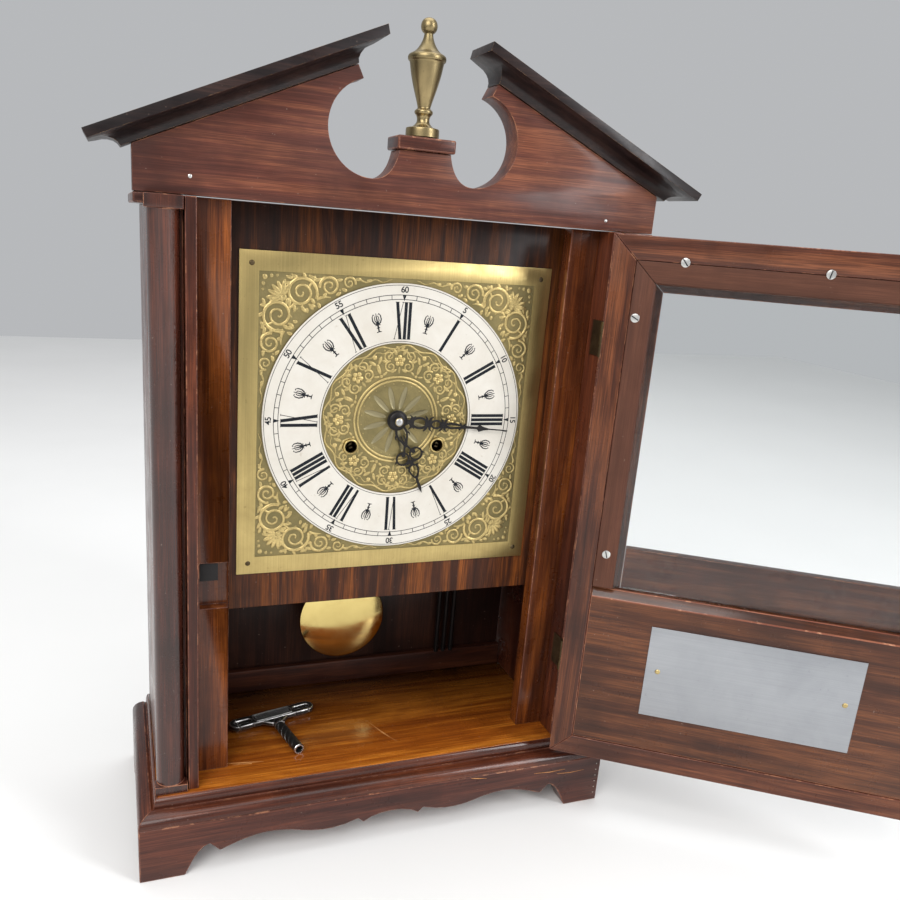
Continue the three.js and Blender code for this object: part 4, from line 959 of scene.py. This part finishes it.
def makeHourHand():
    strips = [
        ([(0, 21), (0, 24)], (2.6, 2.2)),
        ([(0, 35.5), (0, 38), (0, 41)], [1.8, 3.6, 2.4]),
        ([(-4.6, 37.8), (0, 37.2), (4.6, 37.8)], [1.0, 1.9, 1.0]),
        ([(0, 50.5), (0, 55), (0, 61), (0, 66)], [2.0, 1.9, 2.5, 0.4]),
    ]
    halves = [
        ([(3.4, 7.2), (4.4, 11), (3.9, 15), (2.1, 19), (0.7, 22.5)], [2.0, 1.6, 1.4, 1.3, 1.5]),
        ([(4.0, 11.4), (6.0, 13), (6.2, 15.4)], [1.8, 1.2, 0.3]),
        ([(1.2, 13.5), (1.3, 17), (0.4, 21)], [0.4, 1.2, 1.4]),
        ([(0.4, 22), (2.0, 25), (3.0, 27.6)], [1.6, 1.4, 1.4]),
        (arcPath(5.9, 32.2, 5.1, 5.1, 0, 360, 28), (1.35, 1.35)),
        (arcPath(4.5, 29.3, 0.9, 0.9, 0, 360, 10), (1.8, 1.8)),
        ([(10.8, 32.4), (13.2, 34)], (1.8, 0.4)),
        ([(0.8, 40.2), (3.3, 41.4), (4.0, 44.5), (2.9, 48.4), (0.8, 52)], [1.4, 1.5, 1.4, 1.3, 1.3]),
        ([(3.2, 41.6), (5.8, 40.6)], (1.5, 0.4)),
    ]
    for path, widths in halves:
        strips += [(path, widths), (mirrored(path), widths)]
    front = hands["hourFront"]
    boss = turnedPiece([(3.0, front + 1.1), (3.0, front - 0.2), (7.6, front - 0.2), (8.3, front + 0.1),
                        (8.3, front + 1.0), (7.8, front + 1.1)], onDial(0, 0, 0), "Y", 48)
    pipe = turnedPiece([(3.2, front), (4.6, front), (4.6, 16), (3.2, 16)], onDial(0, 0, 0), "Y", 32)
    hand = joined([handPiece(strips, front, hands["hourTurn"]), boss, pipe])
    shapeWith(hand, "BEVEL", width=0.1 * mm, segments=1, limit_method="ANGLE", angle_limit=math.radians(50))
    settle(hand, "hourHand", "hour_wheel", looks["blackSteel"], 30, ("hour_hand",))


def makeMinuteHand():
    strips = [
        ([(0, 6), (0, 12), (0, 13.5)], [5.0, 3.0, 3.4]),
        ([(0, 23), (0, 26.5), (0, 29)], [3.0, 5.0, 3.2]),
        ([(0, 36), (0, 39), (0, 42)], [3.0, 4.6, 3.6]),
        ([(0, 56), (0, 64), (0, 70.5)], [2.6, 1.9, 1.7]),
        ([(0, 69.6), (0, 71.2), (0, 75), (0, 80)], [1.7, 6.0, 3.0, 1.1]),
        ([(0, 79), (0, 97.3)], (1.1, 0.8)),
    ]
    halves = [
        ([(1, 10.6), (4.2, 11.6), (5.8, 9.6)], [2.4, 1.7, 0.3]),
        ([(1, 12.2), (3.8, 13), (5.4, 14.6)], [2.0, 1.3, 0.3]),
        (arcPath(0, 18.4, 4.2, 6.2, -84, 84, 18), (1.7, 1.7)),
        ([(1, 25.2), (4.4, 24.2), (6.6, 22.4)], [2.4, 1.6, 0.3]),
        ([(1, 27), (4.4, 27.6), (6.2, 29.8)], [2.4, 1.5, 0.3]),
        (arcPath(0, 32.8, 3.1, 4.2, -84, 84, 14), (1.5, 1.5)),
        ([(1, 38.6), (3.8, 37.8), (5.6, 36)], [2.2, 1.4, 0.3]),
        ([(1, 40.2), (3.8, 40.8), (5.4, 42.8)], [2.2, 1.4, 0.3]),
        ([(0.9, 41.5), (1.9, 45.5), (1.5, 51), (0.5, 57)], [2.2, 1.6, 1.5, 1.6]),
        ([(1.2, 54.6), (3.2, 53.6)], (1.8, 0.4)),
        ([(1.0, 57.4), (2.9, 58.6)], (1.5, 0.4)),
    ]
    for path, widths in halves:
        strips += [(path, widths), (mirrored(path), widths)]
    front = hands["minuteFront"]
    boss = turnedPiece([(0, front + 1.1), (0, front - 1.2), (4.4, front - 1.2), (6.2, front - 0.5),
                        (7.4, front), (7.6, front + 1.1)], onDial(0, 0, 0), "Y", 48)
    hand = joined([handPiece(strips, front, hands["minuteTurn"]), boss])
    shapeWith(hand, "BEVEL", width=0.1 * mm, segments=1, limit_method="ANGLE", angle_limit=math.radians(50))
    settle(hand, "minuteHand", "centre_arbor", looks["blackSteel"], 30, ("minute_hand",))
    tip = span("centre_arbor")[0].y - 0.25
    nut = turnedPiece([(3.1, front - 1), (4.2, front - 1), (4.2, front - 2.4), (3.7, front - 2.8),
                       (3.1, front - 2.8)], onDial(0, 0, 0), "Y", 6)
    settle(nut, "handNut", "centre_arbor", looks["blackSteel"], 20)
    cap = turnedPiece([(3.3, front - 0.8), (3.3, tip + 1.1), (2.9, tip + 0.5), (2.0, tip + 0.1), (0.9, tip),
                       (0, tip)], onDial(0, 0, 0), "Y", 32)
    settle(cap, "arborCap", "centre_arbor", looks["brightSteel"], 50)


makeHourHand()
makeMinuteHand()
print("hands made")


# ---- finial

finial = {"profile": [
    (0, 0), (12, 0), (12, 1.2), (12, 5.8), (11.6, 6.5), (7.6, 7.1), (4.6, 10), (4.4, 13), (5.2, 15),
    (6.5, 16.2), (6.6, 17.9), (5.4, 18.9), (4.5, 19.6), (4.7, 21), (6.2, 26), (8.6, 33.5), (10.8, 42),
    (11.9, 48.6),
    (12.3, 49.8), (13.3, 50.4), (13.6, 52.2), (13, 53.8), (11.2, 54.8), (8.4, 56.4), (5.6, 60), (3.7, 64),
    (3.1, 67), (3.1, 67.7), (3.9, 68.2), (5.2, 69.5), (5.9, 71.9), (5.5, 74.6), (4.2, 76.6), (2.2, 77.7),
    (0, 78),
]}


def makeFinial():
    low, high = span("finial")
    share = (high.z - low.z) / finial["profile"][-1][1]
    profile = smoothProfile([(radius, rise * share) for radius, rise in finial["profile"]])
    centre = at((low.x + high.x) / 2, (low.y + high.y) / 2, low.z)
    urn = turnedPiece(profile, centre, "Z", 72)
    settle(urn, "urnFinial", "case", looks["finial"], 40, ("finial",))


makeFinial()


# ---- pendulum bob

def makeBob():
    low, high = span("pendulum_bob")
    centre = (low + high) / 2
    radius = (high.x - low.x) / 2
    half = (high.y - low.y) / 2
    profile = [(0, -half)]
    for i in range(1, 15):
        share = i / 15
        profile.append((radius * 0.97 * share, -half + (half - 1.6) * share ** 2.2))
    profile += [(radius * 0.975, -1.5), (radius * 0.99, -1.3), (radius, -0.7), (radius, 0.7),
                (radius * 0.99, 1.3), (radius * 0.9, 2.0), (radius * 0.5, half * 0.8), (0, half * 0.9)]
    bob = turnedPiece(profile, at(*centre), "Y", 96)
    settle(bob, "lensBob", "bob", looks["bob"], 40, ("pendulum_bob",))


makeBob()
print("finial and pendulum made")


# ---- winding key

keyShape = {
    "x": -85, "y": 47, "turn": 13.4, "wing": 7, "thick": 4.4, "slotFrom": 22.5, "slotTo": 33, "slotHalf": 2.4,
    "tube": 58, "tubeRadius": 4.3, "ribPitch": (2.2, 2.4), "ribSize": (1.5, 1.8, 0.8),
}


def onKey(x, y, z):
    # millimetres from the middle of the wings, drawn upright
    return Vector((x, y, z)) * mm


def makeWings():
    # two slotted ends, a plain bar between them and a shoulder down to the tube
    wing, thick, slotHalf = keyShape["wing"], keyShape["thick"], keyShape["slotHalf"]
    near, far = keyShape["slotFrom"], keyShape["slotTo"]
    band = wing - slotHalf
    reach = slotHalf + band / 2
    loops = []
    for side in (-1, 1):
        loop = arcPath(side * far, 0, side * reach, reach, -90, 90, 12)
        loop += arcPath(side * near, 0, side * reach, reach, 90, 270, 12)
        loops.append(stripPiece(loop + loop[:1], [band] * (len(loop) + 1), -thick / 2, thick / 2, onKey))
    bar = rectangle(slotHalf - near, -wing, near - slotHalf, wing)
    middle = flatBlank(bar, 0.04 - thick / 2, thick / 2 - 0.04, onKey)
    slope = [(-13, -wing + 0.5), (-4.4, -14), (4.4, -14), (13, -wing + 0.5)]
    shoulder = flatBlank(slope, 0.3 - thick / 2, thick / 2 - 0.3, onKey)
    plate = dressed(joined(loops + [middle, shoulder]), looks["keySteel"], looks["keyEdge"])
    shapeWith(plate, "BEVEL", width=0.9 * mm, segments=3, limit_method="ANGLE",
              angle_limit=math.radians(40), material=1)
    return plate


def makeGrip():
    # small raised blocks in rows
    across, along = keyShape["ribPitch"]
    blocks = []
    for i in range(15):
        for j in range(4):
            place = ((i - 7) * across, (j - 1.5) * along, keyShape["thick"] / 2)
            blocks.append(block(place, keyShape["ribSize"]))
    ribs = joined(blocks)
    shapeWith(ribs, "BEVEL", width=0.3 * mm, segments=1)
    return dressed(ribs, looks["keyRib"])


def makeTwist(start):
    # one thread of the twist round the tube
    points = []
    for i in range(41):
        turn = math.radians(start + i * 13)
        x, z = keyShape["tubeRadius"] * math.cos(turn), keyShape["tubeRadius"] * math.sin(turn)
        points.append(onKey(x, -20 - i * 0.8, z))
    return dressed(wire(points, [1] * len(points), 0.34 * mm), looks["keyRib"])


def turnedOnKey(profile):
    return turnedPiece(profile, origin, "Y", 36)


def makeKey():
    low, high = span("winding_key")
    lie = Matrix.Rotation(math.radians(keyShape["turn"]), 4, "Z")
    seat = Matrix.Translation(at(keyShape["x"], keyShape["y"], (low.z + high.z) / 2)) @ lie
    flat = Matrix.Rotation(math.radians(-90), 4, "X")
    plate = makeWings()
    rim = [(-17, -5.6), (17, -5.6), (18.4, 0), (17, 5.6), (-17, 5.6), (-18.4, 0), (-17, -5.6)]
    gripRim = ridge([(x * 0.99, z * 0.9, 0.5) for x, z in rim], -keyShape["thick"] / 2, onKey)
    for piece in (plate, gripRim):
        piece.data.transform(flat)
    end = -keyShape["tube"]
    neck = turnedOnKey([(0, -8), (2.4, -8), (3.9, -11), (4.3, -13), (4.3, -15), (4.0, -16), (0, -16)])
    tube = turnedOnKey([(0, -15), (3.9, -15), (4.3, -18), (4.5, end + 3), (4.5, end + 0.8), (4.1, end),
                        (3.3, end), (3.0, end + 1), (3.0, end + 12), (0, end + 12)])
    collar = turnedOnKey([(3.2, -15.5), (4.6, -15.6), (4.8, -16.4), (4.6, -17.4), (3.2, -17.6)])
    mouth = turnedOnKey([(3.1, end + 1.4), (4.6, end + 1.4), (4.65, end + 0.6), (4.2, end - 0.1),
                         (3.3, end - 0.1), (3.1, end + 0.4)])
    dressed(gripRim, looks["keyEdge"])
    for piece in (neck, tube):
        dressed(piece, looks["keySteel"])
    threads = [makeTwist(start) for start in (0, 120, 240)]
    body = joined([plate, makeGrip(), gripRim, neck, tube] + threads)
    bright = joined([collar, mouth])
    for piece in (body, bright):
        piece.data.transform(seat)
    settle(body, "windingKey", "key", None, 35, ("winding_key",))
    settle(bright, "windingKeyCollars", "key", looks["brightSteel"], 35)


makeKey()
print("winding key made")


# ---- door and case fittings

doorParts = {  # screws: in from the hinge edge, height, slot's turn
    "screwRadius": 3.4, "screwProud": 0.36, "beadFace": -13.9,
    "plaqueFace": -14.5, "plaqueMiddle": 160.6, "plaqueNails": (81.3, 229.6),
    "screws": [(53.6, 494.3, 0.9), (22.7, 450.7, 0.5), (26, 257.8, 1.3), (257, 494.3, 2.2),
               (287.9, 450.7, 0.2), (284.6, 257.8, 2.7), (155, 494.3, 1.8)],
}


def screwHead(radius, proud, slotTurn, finish):
    # a slotted head that faces -y, seated at the origin
    profile = [(0, -proud), (radius * 0.75, -proud), (radius * 0.95, -proud * 0.6), (radius, -proud * 0.15),
               (radius, 0.6), (0, 0.6)]
    head = turnedPiece(profile, origin, "Y", 28)
    groove = block((0, -proud, 0), (radius * 2.2, proud * 1.3, radius * 0.3), slotTurn)
    # a black sheet in the slot's floor is painted shade for the deep slot
    slotShadeSheet = dressed(copied(groove, Matrix.Scale(0.8, 4)), looks["ink"])
    cutWith(head, groove)
    shapeWith(head, "BEVEL", width=0.12 * mm, segments=1, limit_method="ANGLE", angle_limit=math.radians(50))
    for vertex in slotShadeSheet.data.vertices:
        vertex.co.y = max(vertex.co.y, -proud * 0.45 * mm)
    return joined([dressed(head, finish), slotShadeSheet])


def seated(place, turn):
    return Matrix.Translation(place) @ Matrix.Rotation(turn, 4, "Z")


def onDoor(s, y, z):
    # a place on the closed door's inner face, s in from its hinge edge, swung open with it
    hingeEdge = (doorPin.x - caseX) / mm - 0.9
    return doorSwing @ seated(at(hingeEdge - s, y, z), math.pi)


def makeDoorScrews():
    for i, (s, z, turn) in enumerate(doorParts["screws"]):
        head = screwHead(doorParts["screwRadius"], doorParts["screwProud"], turn, looks["nickel"])
        head.data.transform(onDoor(s, doorParts["beadFace"], z))
        settle(head, f"beadScrew{i}", "front_door", None, 30)
    profile = [(0, -0.9), (1.2, -0.85), (2.0, -0.4), (2.3, 0.1), (2.3, 0.5), (0, 0.5)]
    for i, s in enumerate(doorParts["plaqueNails"]):
        nail = turnedPiece(profile, origin, "Y", 24)
        nail.data.transform(onDoor(s, doorParts["plaqueFace"], doorParts["plaqueMiddle"]))
        settle(nail, f"plaqueNail{i}", "front_door", looks["brass"])


panelPins = [(-160.7, 525), (152.6, 520.4)]
leafScrews = [(13, -9), (10, 0), (13, 9)]  # back from the leaf's front edge, up from its middle


def makePanelPins():
    pedimentFace = span("pediment_board")[0].y
    profile = [(0, -0.35), (0.9, -0.3), (1.3, 0), (1.3, 0.5), (0, 0.5)]
    for i, (x, z) in enumerate(panelPins):
        nail = turnedPiece(profile, at(x, pedimentFace, z), "Y", 18)
        settle(nail, f"panelPin{i}", "case", looks["nickel"])


def makeHingeScrews():
    # three small countersunk heads on each leaf
    for name in ("upper", "lower"):
        low, high = span(f"hinge_{name}_case")
        middle = (low.z + high.z) / 2
        for i, (depth, rise) in enumerate(leafScrews):
            head = screwHead(1.9, 0.35, 0.4 + i, looks["hinge"])
            head.data.transform(seated(at(high.x - 0.5, low.y + depth, middle + rise), -math.pi / 2))
            settle(head, f"{name}CaseLeafScrew{i}", "case", None, 30)


makeDoorScrews()
makePanelPins()
makeHingeScrews()


def makeKnob():
    # a turned knob on a spindle through the door, with the latch's tongue behind
    seat = seated(Vector(joints["door_latch_turn"]["pos_m"]), doorTurn)
    front = -34.7  # of the door, from the latch joint's place
    profile = smoothProfile([(0, front - 14.6), (4.5, front - 14.2), (6.6, front - 12.2), (6.6, front - 9.4),
                             (4.8, front - 7), (3, front - 5.4), (3, front - 2.6), (6.4, front - 1.6),
                             (6.6, front - 0.3)])
    knob = turnedPiece(profile + [(3, front - 0.3), (3, -9.1), (0, -9.1)], origin, "Y", 48)
    tongue = block((0, -10, -4.9), (6, 1.8, 9.8))
    shapeWith(tongue, "BEVEL", width=0.5 * mm, segments=2)
    knob = joined([knob, tongue])
    knob.data.transform(seat)
    settle(knob, "doorKnob", "door_latch", looks["brass"], 40, ("door_knob",))


makeKnob()


wearMarks = {
    "floor": [([(-1, 24.5), (3, 15), (7, 5.2), (11, -3), (16.3, -12.2)], [0.3, 0.7, 1.7, 0.9, 0.3]),
              ([(-132.7, -8.4), (-118, -10.6), (-102.3, -12.6)], [0.6, 1.6, 0.4]),
              ([(-128, -11.5), (-112, -13.2)], [0.3, 0.7])],
    "plinth": [([(72, 45.6), (79, 44.4), (87, 43)], [0.3, 0.9, 0.2]),
               ([(134, 39.6), (150, 38.4), (166, 38.9)], [0.2, 0.8, 0.3]),
               ([(158, 35.2), (172, 34.2), (186, 34.8)], [0.3, 0.7, 0.2])],
    "cornerX": 199.4, "fillerSize": 0.55,
}


def makeWearMarks():
    # old knocks that show the bare wood on the floor and the plinth, and filler down a mitre
    floorTop = span("floor_board")[1].z
    apronFront = span("plinth_front")[0].y

    def onFloor(x, z, y):
        return at(x, y, z)

    marks = [stripPiece(path, widths, floorTop - 0.3, floorTop + 0.03, onFloor)
             for path, widths in wearMarks["floor"]]
    marks += [stripPiece(path, widths, apronFront - 0.03, apronFront + 0.3)
              for path, widths in wearMarks["plinth"]]
    for mark in marks:
        dressed(mark, worn["scratch"])
    for i in range(6):
        spot = bead(wearMarks["cornerX"], apronFront + 0.2, 8 + i * 6.2, wearMarks["fillerSize"])
        marks.append(dressed(spot, looks["filler"]))
    settle(joined(marks), "wearMarks", "case", None, 30)


makeWearMarks()


backRail = {"low": 64.4, "high": 87, "depth": 8, "gap": 0.2, "ends": 0.3}


def makeBackRail():
    # a low batten that the back panel rests against
    low = span("back_panel")[0]
    inner = span("side_right")[0].x - backRail["ends"]
    outline = rectangle(-inner, backRail["low"], inner, backRail["high"])
    rail = flatBlank(outline, low.y - backRail["depth"], low.y - backRail["gap"])
    shapeWith(rail, "BEVEL", width=1.2 * mm, segments=3, limit_method="ANGLE")
    settle(rail, "backRail", "case", looks["backRail"])


makeBackRail()


rearHinge = {"half": 17, "gap": 1.2, "width": 15, "thick": 0.9, "barrel": 1.15, "fromEnd": 45}


def makeRearLeaf(name, side, middle, edge, face):
    # one leaf and its three screws, on the door for side -1 and on the case for side 1
    shape, body, owner = rearHinge, "rear_door" if side < 0 else "case", "Door" if side < 0 else "Case"
    outline = rectangle(edge + side * shape["gap"], middle - shape["half"],
                        edge + side * shape["width"], middle + shape["half"])
    leafPlate = flatBlank(outline, face + 0.05, face + shape["thick"])
    shapeWith(leafPlate, "BEVEL", width=0.25 * mm, segments=2, limit_method="ANGLE")
    settle(leafPlate, f"{name}{owner}RearHingeLeaf", body, looks["brass"])
    for i, (reach, rise) in enumerate([(9, -11), (6, 0), (9, 11)]):
        head = screwHead(1.8, 0.35, 0.3 + i, looks["brass"])
        place = at(edge + side * reach, face + shape["thick"], middle + rise)
        head.data.transform(seated(place, math.pi))
        settle(head, f"{name}RearHingeScrew{i}{owner}", body, None, 30)


def makeRearHinges():
    # two small butt hinges at the rear door's right edge, their barrels on the joint's own line
    pin = Vector(joints["rear_door_hinge"]["pos_m"])
    low, high = span("rear_door")
    for name, middle in (("upper", high.z - rearHinge["fromEnd"]), ("lower", low.z + rearHinge["fromEnd"])):
        pick()
        bpy.ops.mesh.primitive_cylinder_add(vertices=20, radius=rearHinge["barrel"] * mm,
                                            depth=2 * rearHinge["half"] * mm,
                                            location=(pin.x, pin.y, middle * mm))
        barrel = bpy.context.object
        pick(barrel)
        bpy.ops.object.transform_apply(location=True, rotation=True, scale=True)
        shapeWith(barrel, "BEVEL", width=0.4 * mm, segments=2, limit_method="ANGLE")
        settle(barrel, f"{name}RearHingeBarrel", "rear_door", looks["brass"])
        for side in (-1, 1):
            makeRearLeaf(name, side, middle, high.x, high.y)


makeRearHinges()
print("fittings made")


# ---- shelf, light and camera

stage = {"tone": (0.86, 0.86, 0.85), "world": (0.95, 0.97, 1.0), "worldStrength": 0.5}


def makeStage():
    pick()
    bpy.ops.mesh.primitive_plane_add(size=6, location=(0, 0, 0))
    floor = bpy.context.object
    look, tree, shader = newLook("paleShelf")
    spot = addNode(tree, "TexCoord").outputs["Object"]
    clouds = noise(tree, spot, 3, 3)
    darker = tuple(value * 0.97 for value in stage["tone"])
    colour = ramp(tree, clouds, [(0.3, darker), (0.7, stage["tone"])])
    plug(tree, colour, shader.inputs["Base Color"])
    shader.inputs["Roughness"].default_value = 0.7
    floor.data.materials.append(look)
    floor.name = "paleShelf"
    world = bpy.data.worlds.new("softRoom")
    bpy.context.scene.world = world
    world.use_nodes = True
    background = world.node_tree.nodes["Background"]
    background.inputs["Color"].default_value = (*stage["world"], 1)
    background.inputs["Strength"].default_value = stage["worldStrength"]


lights = {  # place from the clock's middle in metres, size, power, tone
    "windowLeft": ((-1.4, -1.5, 1.5), (1.5, 1.5), 44, (1, 0.98, 0.96)),
    "windowRight": ((1.3, -1.5, 0.9), (0.45, 1.7), 26, (0.97, 0.98, 1)),
    "ceiling": ((0, 0.2, 2.2), (2.2, 2.2), 34, (1, 1, 1)),
}


def softLight(name, place, aim, size, power, tone):
    pick()
    bpy.ops.object.light_add(type="AREA", location=place)
    light = bpy.context.object
    light.name = name
    light.data.shape = "RECTANGLE"
    light.data.size, light.data.size_y = size
    light.data.energy = power
    light.data.color = tone
    light.rotation_euler = (Vector(aim) - Vector(place)).to_track_quat("-Z", "Y").to_euler()


view = {
    "eye": (-210.44, -631.87, 503.02), "right": (0.93506, -0.34635, 0.07560),
    "up": (0.02867, 0.28644, 0.95767), "behind": (-0.35334, -0.89331, 0.27777),
    "sensor": 36, "lens": 33.90, "shiftX": 0.0137, "shiftY": 0.0297, "near": 0.05, "far": 30,
}


def makeCamera():
    # the lens is centred a little off its axis, as the view is
    data = bpy.data.cameras.new("photographer")
    camera = bpy.data.objects.new("photographer", data)
    bpy.context.scene.collection.objects.link(camera)
    turn = Matrix((view["right"], view["up"], view["behind"])).transposed().to_4x4()
    camera.matrix_world = Matrix.Translation(at(*view["eye"])) @ turn
    data.sensor_width = view["sensor"]
    data.lens = view["lens"]
    data.shift_x = view["shiftX"]
    data.shift_y = view["shiftY"]
    data.clip_start = view["near"]
    data.clip_end = view["far"]
    bpy.context.scene.camera = camera


makeStage()
middle = (cadLow + cadHigh) / 2
for name, (offset, size, power, tone) in lights.items():
    softLight(name, middle + Vector(offset), middle, size, power, tone)
makeCamera()
bpy.context.scene.view_settings.view_transform = "Standard"
print("stage, lights and camera set")
